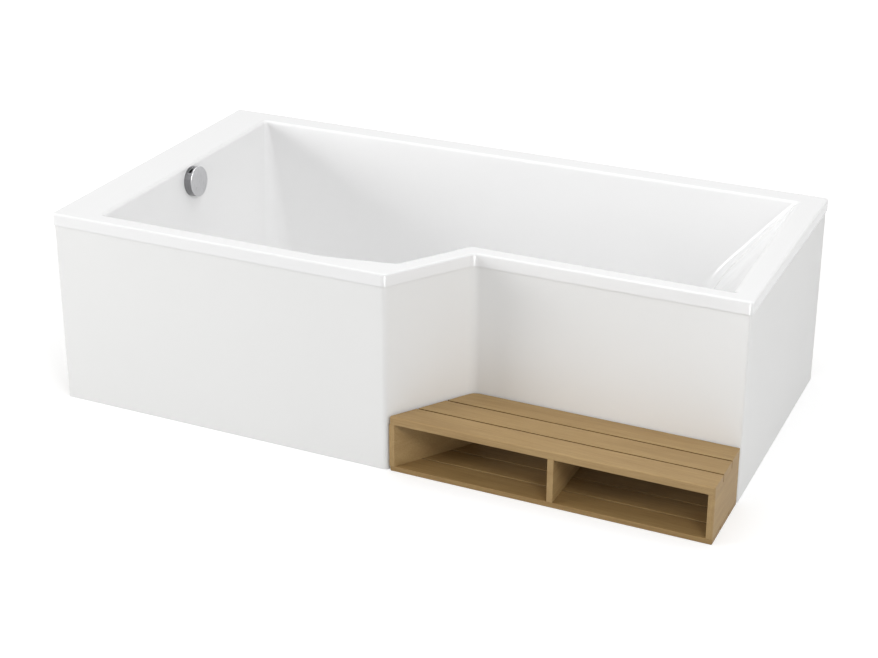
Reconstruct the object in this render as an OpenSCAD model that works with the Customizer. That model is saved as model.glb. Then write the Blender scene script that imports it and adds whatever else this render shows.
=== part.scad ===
// Corner shower bath with a stepped front, panels, a levelling cradle,
// a pop-up waste with an overflow knob, and a slatted step that fills the notch.
// Millimetres. X runs along the length towards the narrow end, the fronts face -Y,
// Z is up, and the origin is the middle of the 1700 by 900 footprint on the floor.

/* [Bath] */
// Overall length
bath_l = 1700; // [1660:5:1800]
// Width at the wide end
wide_w = 900; // [880:5:940]
// Width at the narrow end
narrow_w = 700; // [680:5:715]
// Height of the rim above the floor
rim_h = 502; // [495:1:540]
// Length of the wide front, up to the notch
wide_l = 905; // [880:5:920]
// Length over which the slanted return runs
return_run = 135; // [120:5:150]

/* [Rim] */
// Rim width at the left end
rim_left = 114; // [106:1:124]
// Rim width along the wide front
rim_front = 36; // [34:1:42]
// Rim width along the slanted return
rim_return = 36; // [34:1:42]
// Rim width along the narrow front
rim_narrow = 33; // [32:1:40]
// Rim width at the right end, at its front corner
rim_right_front = 39; // [37:1:46]
// Rim width at the right end, at its back corner
rim_right_back = 52; // [46:1:58]
// Rim width along the back
rim_back = 54; // [50:1:62]
// How much wider the rim grows towards the notch corner
bulge = 31; // [20:1:36]
// Length over which it grows
bulge_l = 172; // [150:2:200]
// Height of the turned-down lip
lip_h = 32; // [28:1:38]
// Thickness of the lip
lip_t = 3; // [2.5:0.5:4]
// Radius along the rim's top outer edge
edge_r = 5; // [3:0.5:6]

/* [Basin] */
// Height of the basin floor
floor_h = 105; // [104:1:112]
// Thickness of the reinforced acrylic shell
shell_t = 6; // [5:0.5:7]
// Lean of the front walls from upright, in degrees
front_tilt = 5; // [3:0.5:6]
// Lean of the back wall
back_tilt = 4; // [3:0.5:6]
// Lean of the left end wall, which carries the overflow
left_tilt = 5.5; // [4:0.5:7]
// Lean of the backrest's upper part
backrest_tilt = 38; // [34:1:40]
// Lean of the backrest's lower part
backrest_low_tilt = 26; // [22:1:32]
// Depth below the rim at which the backrest steepens
backrest_knee = 217; // [190:1:230]
// Radius where the rim turns down into the walls
roll_r = 8; // [6:0.5:9]
// Radius where the rim turns down into the backrest
backrest_roll_r = 25; // [18:1:28]
// Radius between walls and floor
toe_r = 45; // [40:1:50]
// Radius of the basin's corners at the rim
corner_top_r = 10; // [9:1:14]
// Radius of the basin's corners at the floor
corner_low_r = 60; // [50:1:66]

/* [Panels] */
// Thickness of the moulded panels
panel_t = 4; // [3:0.5:5]
// Gap between the lip's inner face and the panels
panel_gap = 0.4; // [0.3:0.1:0.8]
// Thickness of the timber behind the panels
batten_t = 18; // [16:1:20]
// Height of the floor battens
batten_h = 38; // [30:1:45]
// Height of the battens bonded under the rim
rim_batten_h = 25; // [20:1:30]

/* [Cradle] */
// Thickness of the baseboard bonded under the floor
board_t = 15; // [12:1:16]
// Width of the steel cross bars
bar_w = 30; // [28:1:36]
// Height of the steel cross bars
bar_h = 25; // [22:1:28]
// Wall of the steel cross bars
bar_t = 2.5; // [2:0.5:3]
// Distance of the wide cross bar from the bath's left end
bar_wide_inset = 450; // [420:5:470]
// Distance of the narrow cross bar from the bath's right end
bar_narrow_inset = 520; // [490:5:550]
// Distance of the feet from the bath's edges
foot_inset = 50; // [49:0.5:54]
// Radius of the levelling rods
rod_r = 5; // [4.5:0.5:5]
// Radius of the plastic foot pads
pad_r = 20; // [18:0.5:21]

/* [Waste] */
// Distance of the overflow's middle below the rim
overflow_drop = 45; // [45:1:60]
// Radius of the overflow knob
knob_r = 40; // [38:0.5:40]
// Distance from the wall to the knob's face
knob_l = 22.5; // [19:0.5:24]
// Distance of the drain from the left end of the basin floor
drain_inset = 88; // [80:1:100]
// Radius of the hole for the drain and of the one for the overflow
waste_hole_r = 26; // [25.5:0.25:26.5]
// Radius of the pop-up plug's cap
plug_r = 33; // [31:0.5:34]
// How far the plug lifts
plug_lift = 10; // [8:0.5:11]
// Outer radius of the outlet pipe
pipe_r = 20; // [19:0.5:20]

/* [Step] */
// Height of the slatted step
step_h = 143; // [130:1:160]
// Thickness of the top slats
top_slat_t = 20; // [16:1:24]
// Thickness of the bottom slats
low_slat_t = 13; // [11:1:16]
// Gap between slats
slat_gap = 4; // [3:0.5:6]
// Thickness of the right end board and of the divider
board_w = 15; // [14:0.5:18]
// Thickness of the slanted end board
slant_board_w = 11; // [10:0.5:14]
// Distance between the step and the lines of the rim above it
step_gap = 3; // [2:0.5:6]
// How far the step stands back from the wide front
step_set_back = 5; // [3:1:8]
// Width of the right compartment
right_room = 358; // [300:2:380]

/* [Hidden] */
$fn = 48;

// Edges of the footprint
left = -bath_l / 2;
right = bath_l / 2;
front = -wide_w / 2;
back = wide_w / 2;
narrow_front = back - narrow_w;
notch = [left + wide_l, front];
notch_end = [left + wide_l + return_run, narrow_front];

// Heights
deck_t = shell_t;
deck_z = rim_h - deck_t;
lip_z = rim_h - lip_h;
basin_depth = rim_h - floor_h;
under_floor_z = floor_h - shell_t;
under_board_z = under_floor_z - board_t;

// Running and seating clearances
run = 0.05;
seat = 0.3;
cut = 1;

// Rounding steps of the lofted shell
arc_steps = 7;
roll_steps = 6;
toe_steps = 7;
knee_blend = 40;

// The slanted return's line, as a direction along it and one square to it
return_dir = unit(notch_end - notch);
return_in = [-return_dir.y, return_dir.x];

// Corners of the rim's outer edge, anticlockwise, with their radii
outer_corners = [[left, front], notch, notch_end, [right, narrow_front], [right, back], [left, back]];
outer_corner_r = 8;
notch_r = 20;
notch_end_r = 26;
wall_corner_r = 10;
outer_radii = [outer_corner_r, notch_r, notch_end_r, outer_corner_r, outer_corner_r, wall_corner_r];

// Corners of the basin's opening
bulge_y = front + rim_front + bulge;
return_line = notch + return_in * rim_return;
bend_x = notch.x - bulge_l;
bend_step = 10;
inner_corners = [
    [left + rim_left, front + rim_front],
    [bend_x, front + rim_front],
    crossing(return_line, return_dir, [0, bulge_y], [1, 0]),
    crossing(return_line, return_dir, [0, narrow_front + rim_narrow], [1, 0]),
    [right - rim_right_front, narrow_front + rim_narrow],
    [right - rim_right_back, back - rim_back],
    [left + rim_left, back - rim_back]
];
soft_bend_r = 400;
bulge_top_r = 18;
bulge_low_r = 50;
concave_top_r = 20;
concave_low_r = 60;
inner_top_radii = [corner_top_r, soft_bend_r, bulge_top_r, concave_top_r,
                   corner_top_r, corner_top_r, corner_top_r];
inner_low_radii = [corner_low_r, soft_bend_r, bulge_low_r, concave_low_r,
                   corner_low_r, corner_low_r, corner_low_r];

// Each wall in the order of the sides: roll radius, upper lean, lower lean
walls = [
    [roll_r, front_tilt, front_tilt],
    [roll_r, front_tilt, front_tilt],
    [roll_r, front_tilt, front_tilt],
    [roll_r, front_tilt, front_tilt],
    [backrest_roll_r, backrest_tilt, backrest_low_tilt],
    [roll_r, back_tilt, back_tilt],
    [roll_r, left_tilt, left_tilt]
];
left_wall = walls[6];
concave_corner = 3;

// Depths below the rim at which the shell's rings lie
roll_depth = 10;
toe_turn = 84;
ring_drops = concat(
    [for (k = [0:roll_steps]) roll_depth * (1 - cos(90 * k / roll_steps))],
    [for (k = [-1:1]) backrest_knee + k * knee_blend],
    [for (k = [0:toe_steps]) basin_depth - toe_r * (1 - cos(toe_turn * (1 - k / toe_steps)))]
);

// Waste and overflow
overflow_z = rim_h - overflow_drop;
overflow_x = left + rim_left + wall_reach(overflow_drop, left_wall);
waste_y = (front + rim_front + back - rim_back) / 2;
drain_x = left + rim_left + wall_reach(basin_depth, left_wall) + drain_inset;
plastic_t = 3;
gasket_t = 3;
gasket_w = 5;
gasket_r = waste_hole_r + gasket_w;
spindle_r = 4;
hub_r = 8;
spoke_w = 3;
spoke_sink = 0.5;
guide_h = 8;
flange_w = 10;
flange_r = waste_hole_r + flange_w;
flange_h = 2.5;
flange_top = floor_h + flange_h;
throat_play = 1.2;
throat_t = 2.8;
throat_r = waste_hole_r - throat_play;
throat_bore_r = throat_r - throat_t;
throat_rise = 1;
throat_top = floor_h + throat_rise;
seal_w = 2;
seal_seat_r = throat_bore_r + seal_w;
body_play = 0.8;
body_t = 4.8;
body_bore_r = waste_hole_r - body_play;
body_r = body_bore_r + body_t;
body_top = under_floor_z - gasket_t;
body_depth = 37;
body_floor = body_top - body_depth;
body_flange_t = 4;
dip_r = 21;
dip_wall = 2.5;
dip_end_z = 20;

// The lever lies under the plug's stem and turns on a pin, far enough to lift the plug
lever_turn = 30;
lever_l = plug_lift / sin(lever_turn);
lever_w = 5;
lever_t = 4;
tip_r = 3;
pin_r = 1.5;
pin_l = 38;
tip_gap = 0.5;
pivot_z = body_floor + tip_r + tip_gap;
stem_gap = 0.6;
stem_end_z = pivot_z + tip_r + stem_gap;
cap_z = flange_top + seat;
cap_socket = 3;
cap_edge = 1.5;
cap_h = 7.3;

// Trap and outlet
trap_nut_h = 8;
trap_r = 32;
trap_base = 6;
trap_top = body_floor - plastic_t - trap_nut_h;
outlet_t = 2.5;
outlet_r = pipe_r + outlet_t;
outlet_drop = 0.5;
pipe_z = trap_top - outlet_r - outlet_drop;
socket_gap = 4;
socket_start = trap_r + socket_gap;
socket_l = 22;
outlet_nut_h = 10;
pipe_wall = 1.8;
pipe_wall_gap = 4;
pipe_end = back - pipe_wall_gap;
spigot_end_l = 55;
stop_ring_w = 3;
stop_ring_h = 1.5;

// Overflow hose and control cable, both held at their two ends
spigot_r = 12.5;
spigot_l = 22;
spigot_t = 2;
spigot_root = 18;
root_t = 4;
chamber_play = 2;
chamber_l = 2 * spigot_r + chamber_play;
chamber_front = shell_t + gasket_t;
overflow_back = chamber_front + chamber_l + plastic_t;
chamber_x = overflow_x - (chamber_front + chamber_l / 2) * cos(left_tilt);
chamber_z = overflow_z - (chamber_front + chamber_l / 2) * sin(left_tilt);

hose_sides = 8;
hose_bore_r = (spigot_r + seat) / cos(180 / hose_sides);
hose_wall = 1.4;
hose_root_r = hose_bore_r + hose_wall;
rib_h = 1.6;
hose_crest_r = hose_root_r + rib_h;
hose_gap = 0.5;
hose_port_z = body_top - body_flange_t - hose_root_r - hose_gap;
hose_drop = 5;
hose_top_z = chamber_z - gasket_r - hose_drop;
hose_bend_r = 60;
port_stub = 3;
hose_end_x = drain_x - body_r - port_stub;
rib_pitch = 6;
collar_t = 2.4;
collar_r = hose_root_r + collar_t;
collar_start = 4;
collar_l = 12;
gland_r = 5;
gland_l = 27;
cable_r = 2.5;
gland_gap = 2;
cable_y = waste_y + collar_r + gland_r + gland_gap;
cable_drop = 4;
cable_top_z = hose_top_z - cable_drop;
cable_bend_r = 75;
cable_rise = 8;
cable_z = body_floor + cable_rise;
cable_stub = 4;
cable_end_x = drain_x - body_r - cable_stub;

// Cradle
foot_front = front + foot_inset;
foot_back = back - foot_inset;
foot_narrow = narrow_front + foot_inset;
bar_wide_x = left + bar_wide_inset;
bar_narrow_x = right - bar_narrow_inset;
bar_feet = [[bar_wide_x, foot_front], [bar_wide_x, foot_back],
            [bar_narrow_x, foot_narrow], [bar_narrow_x, foot_back]];
centre_foot = [(bar_wide_x + bar_narrow_x) / 2, (foot_narrow + foot_back) / 2];
feet = concat(bar_feet, [centre_foot]);
nut_flat_r = 9.8;
nut_t = 8;
pad_h = 14;
pad_edge = 4;
pad_bevel = 1;
pad_socket = 4;
rod_over = 26;
rod_top = under_board_z + rod_over;
rod_under = 2;
centre_rod_top = under_board_z - rod_under;
screw_r = 2;
screw_l = 10;
screw_hole_l = 12;
screw_head_h = 2.5;
screw_play = 0.3;
screw_inset = 125;
plate_screw_inset = 11;
plate_w = 80;
plate_t = 3;
board_edge = 12;
board_left = drain_x + flange_r + board_edge;

// Panels
panel_face = lip_t + panel_gap;
panel_back = panel_face + panel_t;
panel_top_gap = 2;
panel_top = deck_z - panel_top_gap;
clip_w = 40;
clip_t = 2;

// Wall clips
wall_clip_reach = 500;
end_clip_reach = 220;
wall_clip_t = 2;
wall_clip_drop = 42;
wall_screw_r = 2.75;

// Step
step_front = front + step_set_back;
step_back = narrow_front;
step_right = right - step_set_back;
step_line = notch - return_in * step_gap;
step_left_front = crossing(step_line, return_dir, [0, step_front], [1, 0]);
step_left_back = crossing(step_line, return_dir, [0, step_back], [1, 0]);
step_plan = [step_left_front, [step_right, step_front], [step_right, step_back], step_left_back];
slats = 3;
slat_w = (step_back - step_front - (slats - 1) * slat_gap) / slats;
slat_round = 2.5;
side_h = step_h - top_slat_t - low_slat_t;
divider_x = step_right - board_w - right_room - board_w / 2;
dowel_r = 3;
dowel_l = 24;
dowel_in_low = 8;
dowel_in_top = 12;

acrylic = "white";
timber = "burlywood";
oak = "peru";
steel = "silver";
chrome_like = "lightgray";
plastic = "gainsboro";
rubber = "dimgray";

function unit(v) = v / norm(v);
function left_normal(a, b) = [-unit(b - a).y, unit(b - a).x];

// Where the line through p along d crosses the line through q along e
function crossing(p, d, q, e) = p + d * cross(q - p, e) / cross(d, e);

// The outline with every side moved inwards by its own distance
function moved(points, distances) =
    let (n = len(points))
    [for (i = [0:n - 1])
        let (j = (i + n - 1) % n, a = points[j], b = points[i], c = points[(i + 1) % n])
        crossing(b + left_normal(a, b) * distances[j], b - a,
                 b + left_normal(b, c) * distances[i], c - b)];

// Points on the arc of radius r that rounds the corner b between a and c
function corner_arc(a, b, c, r) =
    let (u = unit(a - b), v = unit(c - b), half = acos(u * v) / 2,
         middle = b + unit(u + v) * r / sin(half), start = b + u * r / tan(half) - middle,
         first = atan2(start.y, start.x), side = cross(b - a, c - b) > 0 ? 1 : -1,
         turn = side * (180 - 2 * half))
    [for (k = [0:arc_steps])
        let (angle = first + turn * k / arc_steps)
        middle + r * [cos(angle), sin(angle)]];

function rounded(points, radii) =
    let (n = len(points))
    [for (i = [0:n - 1])
        each corner_arc(points[(i + n - 1) % n], points[i], points[(i + 1) % n], radii[i])];

function lifted(points, z) = [for (p = points) [p.x, p.y, z]];

// How far a wall has moved inwards at a depth below the rim: down the rim's roll,
// along the leaning wall, and round the toe into the floor
function past_knee(drop) =
    drop < backrest_knee - knee_blend ? 0
    : drop > backrest_knee + knee_blend ? drop - backrest_knee
    : pow(drop - backrest_knee + knee_blend, 2) / (4 * knee_blend);
function wall_slope(drop, wall) =
    let (r = wall[0], upper = wall[1], lower = wall[2])
    r * cos(upper) + (drop - r * (1 - sin(upper))) * tan(upper)
    - past_knee(drop) * (tan(upper) - tan(lower));
function wall_reach(drop, wall) =
    let (r = wall[0], lower = wall[2],
         roll_end = r * (1 - sin(wall[1])), toe_start = basin_depth - toe_r * (1 - sin(lower)))
    drop < roll_end ? r * sin(acos(1 - drop / r))
    : drop < toe_start ? wall_slope(drop, wall)
    : wall_slope(toe_start, wall)
      + toe_r * (cos(lower) - sin(acos(min(1, 1 - (basin_depth - drop) / toe_r))));

// The shell's outer face lies one thickness outside and below its inner face
function skin(wall, t) = t * (1 - sin(wall[2])) / cos(wall[2]);
function basin_ring(drop, t) =
    let (part = min(1, drop / (basin_depth - toe_r)),
         reaches = [for (wall = walls) wall_reach(drop, wall) - skin(wall, t)],
         radii = [for (i = [0:len(walls) - 1])
             inner_top_radii[i] + (inner_low_radii[i] - inner_top_radii[i]) * part
             + (i == concave_corner ? -t : t)])
    rounded(moved(inner_corners, reaches), radii);

// The rim's outer line, with as many points as a basin ring: after the first corner
// come points on the straight front, opposite the basin's soft bend
function outer_ring(inset) =
    let (radii = [for (i = [0:len(outer_radii) - 1])
             outer_radii[i] + (i == 2 ? inset : -inset * 0.9)],
         ring = rounded(moved(outer_corners, [for (c = outer_corners) inset]), radii),
         straight = [for (k = [0:arc_steps]) [bend_x + (k - arc_steps / 2) * bend_step, front + inset]])
    concat([for (i = [0:arc_steps]) ring[i]], straight, [for (i = [arc_steps + 1:len(ring) - 1]) ring[i]]);

// Solid whose surface runs through the rings in turn, closed by the first and the last
module loft(rings) {
    n = len(rings[0]);
    last = len(rings) - 1;
    sides = [for (j = [0:last - 1]) for (i = [0:n - 1])
        let (a = j * n + i, b = j * n + (i + 1) % n)
        each [[a, b, b + n], [a, b + n, a + n]]];
    top = [for (i = [n - 1:-1:0]) i];
    bottom = [for (i = [0:n - 1]) last * n + i];
    polyhedron([for (ring = rings) each ring], concat([top], sides, [bottom]));
}

module block(low, high) {
    translate(low) cube(high - low);
}

module tube(outer, inner, low, high) {
    difference() {
        translate([0, 0, low]) cylinder(r = outer, h = high - low);
        translate([0, 0, low - cut]) cylinder(r = inner, h = high - low + 2 * cut);
    }
}

// Puts a child on the left wall: its z axis stands square to the wall, into the basin
module at_overflow() {
    translate([overflow_x, waste_y, overflow_z]) rotate([0, 90 - left_tilt, 0]) children();
}

module at_drain() {
    translate([drain_x, waste_y, 0]) children();
}

// Tub: from the basin floor up the walls, over the rim, round the lip and back underneath
module tub_shell() {
    edge_steps = 4;
    through = 4;
    inside = [for (k = [len(ring_drops) - 1:-1:0])
        lifted(basin_ring(ring_drops[k], 0), rim_h - ring_drops[k])];
    edge = [for (k = [0:edge_steps])
        let (a = 90 * k / edge_steps)
        lifted(outer_ring(edge_r * (1 - sin(a))), rim_h - edge_r * (1 - cos(a)))];
    lip = [lifted(outer_ring(0), lip_z), lifted(outer_ring(lip_t), lip_z), lifted(outer_ring(lip_t), deck_z)];
    underside = [for (d = ring_drops) lifted(basin_ring(d, shell_t), deck_z - d)];
    color(acrylic) difference() {
        loft(concat(inside, edge, lip, underside));
        at_drain() translate([0, 0, under_floor_z - cut]) cylinder(r = waste_hole_r, h = shell_t + 2 * cut);
        at_overflow() translate([0, 0, -shell_t - through])
            cylinder(r = waste_hole_r, h = shell_t + 2 * through);
    }
}

// Cradle
module board_plan() {
    intersection() {
        polygon(moved(inner_corners, [for (wall = walls) wall_reach(basin_depth, wall) + board_edge]));
        translate([board_left, front]) square([bath_l, wide_w]);
    }
}

function between(low, high, n) = [for (k = [0:n - 1]) low + (high - low) * k / (n - 1)];
function row_of_screws(x, y_low) =
    [for (y = between(y_low + screw_inset, foot_back - screw_inset, 4)) [x, y]];
wide_screws = row_of_screws(bar_wide_x, foot_front);
narrow_screws = row_of_screws(bar_narrow_x, foot_narrow);
plate_screws = [for (x = [-1, 1]) for (y = [-1, 1])
    centre_foot + (plate_w / 2 - plate_screw_inset) * [x, y]];
bar_screws = concat(wide_screws, narrow_screws);

module baseboard() {
    color(timber) translate([0, 0, under_board_z]) difference() {
        linear_extrude(board_t) board_plan();
        for (p = concat(bar_screws, plate_screws))
            translate([p.x, p.y, -cut]) cylinder(r = screw_r + run, h = screw_hole_l + cut);
        translate([centre_foot.x, centre_foot.y, -cut])
            cylinder(r = rod_r + rod_under, h = board_t + 2 * cut);
    }
}

module cross_bar(x, y_low, y_high, holes, screws) {
    overhang = 20;
    rod_play = 0.5;
    color(steel) difference() {
        block([x - bar_w / 2, y_low - overhang, under_board_z - bar_h],
              [x + bar_w / 2, y_high + overhang, under_board_z]);
        block([x - bar_w / 2 + bar_t, y_low - overhang - cut, under_board_z - bar_h - cut],
              [x + bar_w / 2 - bar_t, y_high + overhang + cut, under_board_z - bar_t]);
        for (p = holes)
            translate([p.x, p.y, under_board_z - bar_t - cut])
                cylinder(r = rod_r + rod_play, h = bar_t + 2 * cut);
        for (p = screws)
            translate([p.x, p.y, under_board_z - bar_t - cut])
                cylinder(r = screw_r + screw_play, h = bar_t + 2 * cut);
    }
}

module cross_bar_wide() {
    cross_bar(bar_wide_x, foot_front, foot_back, [bar_feet[0], bar_feet[1]], wide_screws);
}

module cross_bar_narrow() {
    cross_bar(bar_narrow_x, foot_narrow, foot_back, [bar_feet[2], bar_feet[3]], narrow_screws);
}

module centre_foot_plate() {
    boss_h = 20;
    boss_t = 4;
    color(steel) translate([centre_foot.x, centre_foot.y, 0]) difference() {
        union() {
            block([-plate_w / 2, -plate_w / 2, under_board_z - plate_t],
                  [plate_w / 2, plate_w / 2, under_board_z]);
            translate([0, 0, under_board_z - plate_t - boss_h])
                cylinder(r = rod_r + boss_t, h = boss_h + cut);
        }
        translate([0, 0, under_board_z - plate_t - boss_h - cut])
            cylinder(r = rod_r + run, h = boss_h + plate_t + 2 * cut);
        for (p = plate_screws)
            translate([p.x - centre_foot.x, p.y - centre_foot.y, under_board_z - plate_t - cut])
                cylinder(r = screw_r + screw_play, h = plate_t + 2 * cut);
    }
}

module pan_screw(head_top) {
    translate([0, 0, head_top]) cylinder(r = screw_r, h = screw_l);
    translate([0, 0, head_top - screw_head_h]) cylinder(r = 2 * screw_r, h = screw_head_h);
}

module cradle_screws() {
    color(steel) {
        for (p = bar_screws) translate([p.x, p.y, 0]) pan_screw(under_board_z - bar_t);
        for (p = plate_screws) translate([p.x, p.y, 0]) pan_screw(under_board_z - plate_t);
    }
}

module hex_nut(z) {
    difference() {
        translate([0, 0, z]) cylinder(r = nut_flat_r, h = nut_t, $fn = 6);
        translate([0, 0, z - cut]) cylinder(r = rod_r + run, h = nut_t + 2 * cut);
    }
}

module leg_nuts() {
    color(steel) for (p = bar_feet) translate([p.x, p.y, 0]) {
        hex_nut(under_board_z);
        hex_nut(under_board_z - bar_t - nut_t);
    }
}

module leg_rod(i) {
    top = i < len(bar_feet) ? rod_top : centre_rod_top;
    color(steel) translate([feet[i].x, feet[i].y, pad_socket]) cylinder(r = rod_r, h = top - pad_socket);
}

module foot_pad(i) {
    neck_r = rod_r + pad_edge;
    color(rubber) translate([feet[i].x, feet[i].y, 0]) difference() {
        rotate_extrude() polygon([[0, 0], [pad_r - pad_bevel, 0], [pad_r, pad_bevel], [pad_r, pad_edge],
                                  [neck_r, pad_h - pad_edge],
                                  [neck_r, pad_h], [0, pad_h]]);
        translate([0, 0, pad_socket]) cylinder(r = rod_r + run, h = pad_h);
    }
}

// Timber under the rim, set clear of the panels and of the basin's walls
module rim_batten(low, high) {
    color(timber) block([low.x, low.y, deck_z - rim_batten_h], [high.x, high.y, deck_z]);
}

wall_gap = 1;
clear_wall = shell_t + wall_gap;
batten_end_gap = 20;
batten_lip_gap = 8;
left_batten_w = 39;
batten_joint = 4;
clip_margin = 60;
batten_front_y = front + panel_back + clip_t;
batten_narrow_y = narrow_front + panel_back + clip_t;
batten_right_x = right - panel_back - clip_t;

module rim_batten_front() {
    rim_batten([left + rim_left, batten_front_y], [notch.x - batten_end_gap, front + rim_front - clear_wall]);
}

module rim_batten_narrow() {
    rim_batten([notch_end.x + batten_end_gap, batten_narrow_y],
               [right - rim_right_front, narrow_front + rim_narrow - clear_wall]);
}

module rim_batten_right() {
    rim_batten([right - rim_right_front + clear_wall, narrow_front + rim_narrow + batten_end_gap],
               [batten_right_x, back - rim_back - batten_end_gap]);
}

module rim_batten_back() {
    rim_batten([left + rim_left, back - rim_back + clear_wall],
               [right - rim_right_back, back - lip_t - batten_lip_gap]);
}

module rim_batten_left() {
    low_x = left + lip_t + batten_lip_gap;
    rim_batten([low_x, front + rim_front], [low_x + left_batten_w, back - rim_back]);
}

// Panels
module front_panel() {
    face = moved(outer_corners, [for (c = outer_corners) panel_face]);
    inside = moved(outer_corners, [for (c = outer_corners) panel_back]);
    end_x = right - panel_back;
    color(acrylic) linear_extrude(panel_top) polygon(concat(
        corner_arc([left + panel_face, inside[0].y], face[0], face[1], panel_t),
        corner_arc(face[0], face[1], face[2], outer_radii[1] - panel_face),
        corner_arc(face[1], face[2], face[3], outer_radii[2] + panel_face),
        [[end_x, face[3].y], [end_x, inside[3].y]],
        reversed(corner_arc(inside[1], inside[2], inside[3], outer_radii[2] + panel_back)),
        reversed(corner_arc(inside[0], inside[1], inside[2], outer_radii[1] - panel_back)),
        [inside[0]]
    ));
}

function reversed(points) = [for (i = [len(points) - 1:-1:0]) points[i]];

module end_panel() {
    inner = right - panel_back;
    face = moved(outer_corners, [for (c = outer_corners) panel_face]);
    color(acrylic) linear_extrude(panel_top) polygon(concat(
        corner_arc([inner, face[3].y], face[3], face[4], panel_t),
        corner_arc(face[3], face[4], [inner, face[4].y], panel_t)
    ));
}

module floor_batten_front() {
    color(timber) block([left + batten_end_gap, front + panel_back, 0],
                        [notch.x - batten_end_gap, front + panel_back + batten_t, batten_h]);
}

module floor_batten_narrow() {
    batten_front = narrow_front + panel_back;
    color(timber) block([notch_end.x + batten_end_gap, batten_front, 0],
                        [right - panel_back - batten_t - batten_joint, batten_front + batten_t, batten_h]);
}

module floor_batten_end() {
    color(timber) block([right - panel_back - batten_t, narrow_front + panel_back, 0],
                        [right - panel_back, back - batten_end_gap, batten_h]);
}

// Spring clips between the panels' tops and the battens under the rim
module panel_clips() {
    clip_z = deck_z - rim_batten_h;
    color(plastic) {
        for (x = between(left + rim_left + clip_margin, notch.x - clip_margin - clip_w, 4))
            block([x, front + panel_back, clip_z], [x + clip_w, batten_front_y, panel_top]);
        for (x = between(notch_end.x + clip_margin, right - rim_right_front - clip_margin - clip_w, 3))
            block([x, narrow_front + panel_back, clip_z], [x + clip_w, batten_narrow_y, panel_top]);
        for (y = between(narrow_front + rim_narrow + clip_margin, back - rim_back - clip_margin - clip_w, 3))
            block([batten_right_x, y, clip_z], [right - panel_back, y + clip_w, panel_top]);
    }
}

// Steel clips that hold the lip to the wall: a plate with a screw hole, a ledge and a hook
module wall_clip() {
    half = 20;
    hook_y = -lip_t - seat;
    hook_h = 16;
    difference() {
        union() {
            block([-half, -wall_clip_t, lip_z - wall_clip_drop], [half, 0, lip_z]);
            block([-half, hook_y - wall_clip_t, lip_z - wall_clip_t], [half, -wall_clip_t / 2, lip_z]);
            block([-half, hook_y - wall_clip_t, lip_z - wall_clip_t], [half, hook_y, lip_z + hook_h]);
        }
        translate([0, cut, lip_z - wall_clip_drop / 2]) rotate([90, 0, 0])
            cylinder(r = wall_screw_r, h = wall_clip_t + 2 * cut);
    }
}

module wall_clips() {
    color(steel) {
        for (x = [-wall_clip_reach, wall_clip_reach]) translate([x, back, 0]) wall_clip();
        for (y = [-end_clip_reach, end_clip_reach]) translate([left, y, 0]) rotate([0, 0, 90]) wall_clip();
    }
}

// Overflow, in a frame whose z axis is the knob's and whose -x points up
knob_skin = 3;
knob_face_t = 4;
slot_angle = 80;
slot_low = 4;
slot_land = 1;
slot_high = knob_l - knob_face_t - slot_land;
plate_r = 34;
plate_h = 2.5;
plate_bevel = 1;
plate_spigot = 6;
drum_r = 12;
drum_gap = 3;
drum_start = drum_gap - overflow_back + plastic_t;
drum_w = 8;
bearing_depth = 1.5;

module overflow_knob() {
    color(chrome_like) at_overflow() {
        difference() {
            translate([0, 0, seat]) cylinder(r = knob_r, h = knob_l - seat);
            translate([0, 0, seat - cut])
                cylinder(r = knob_r - knob_skin, h = knob_l - knob_face_t - seat + cut);
            rotate([0, 0, 180 - slot_angle / 2]) intersection() {
                translate([0, 0, slot_low]) cylinder(r = knob_r + cut, h = slot_high - slot_low);
                linear_extrude(knob_l) polygon([[0, 0], [2 * knob_r, 0],
                    2 * knob_r * [1, tan(slot_angle / 2)], 2 * knob_r * [cos(slot_angle), sin(slot_angle)]]);
            }
        }
        tube(hub_r, spindle_r, plate_h + seat, knob_l - knob_face_t + cut / 2);
    }
}

module knob_spindle() {
    spindle_start = plastic_t - bearing_depth - overflow_back;
    color(steel) at_overflow() translate([0, 0, spindle_start])
        cylinder(r = spindle_r, h = knob_l - knob_face_t - spindle_start);
}

module cable_drum() {
    groove_r = 1.5;
    color(plastic) at_overflow() difference() {
        tube(drum_r, spindle_r, drum_start, drum_start + drum_w);
        translate([0, 0, drum_start + drum_w / 2]) rotate_extrude()
            translate([drum_r, 0]) circle(r = groove_r);
    }
}

// Three spokes and a hub, with a bore for the shaft that the hub guides
module spokes(low, high) {
    reach = throat_bore_r + spoke_sink;
    difference() {
        union() {
            translate([0, 0, low]) cylinder(r = hub_r, h = high - low);
            for (a = [30:120:270])
                rotate([0, 0, a]) block([0, -spoke_w / 2, low], [reach, spoke_w / 2, high]);
        }
        translate([0, 0, low - cut]) cylinder(r = spindle_r + run, h = high - low + 2 * cut);
    }
}

module overflow_plate() {
    spigot_end = -chamber_front - plate_spigot;
    color(chrome_like) at_overflow() {
        rotate_extrude() polygon([[throat_bore_r, spigot_end], [throat_r, spigot_end],
                                  [throat_r, run], [plate_r, run],
                                  [plate_r, plate_h - plate_bevel], [plate_r - plate_bevel, plate_h],
                                  [throat_bore_r, plate_h]]);
        spokes(plate_h - guide_h, plate_h - spoke_sink);
    }
}

module overflow_gasket() {
    color(rubber) at_overflow() tube(gasket_r, waste_hole_r, -chamber_front, -shell_t);
}

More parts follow.
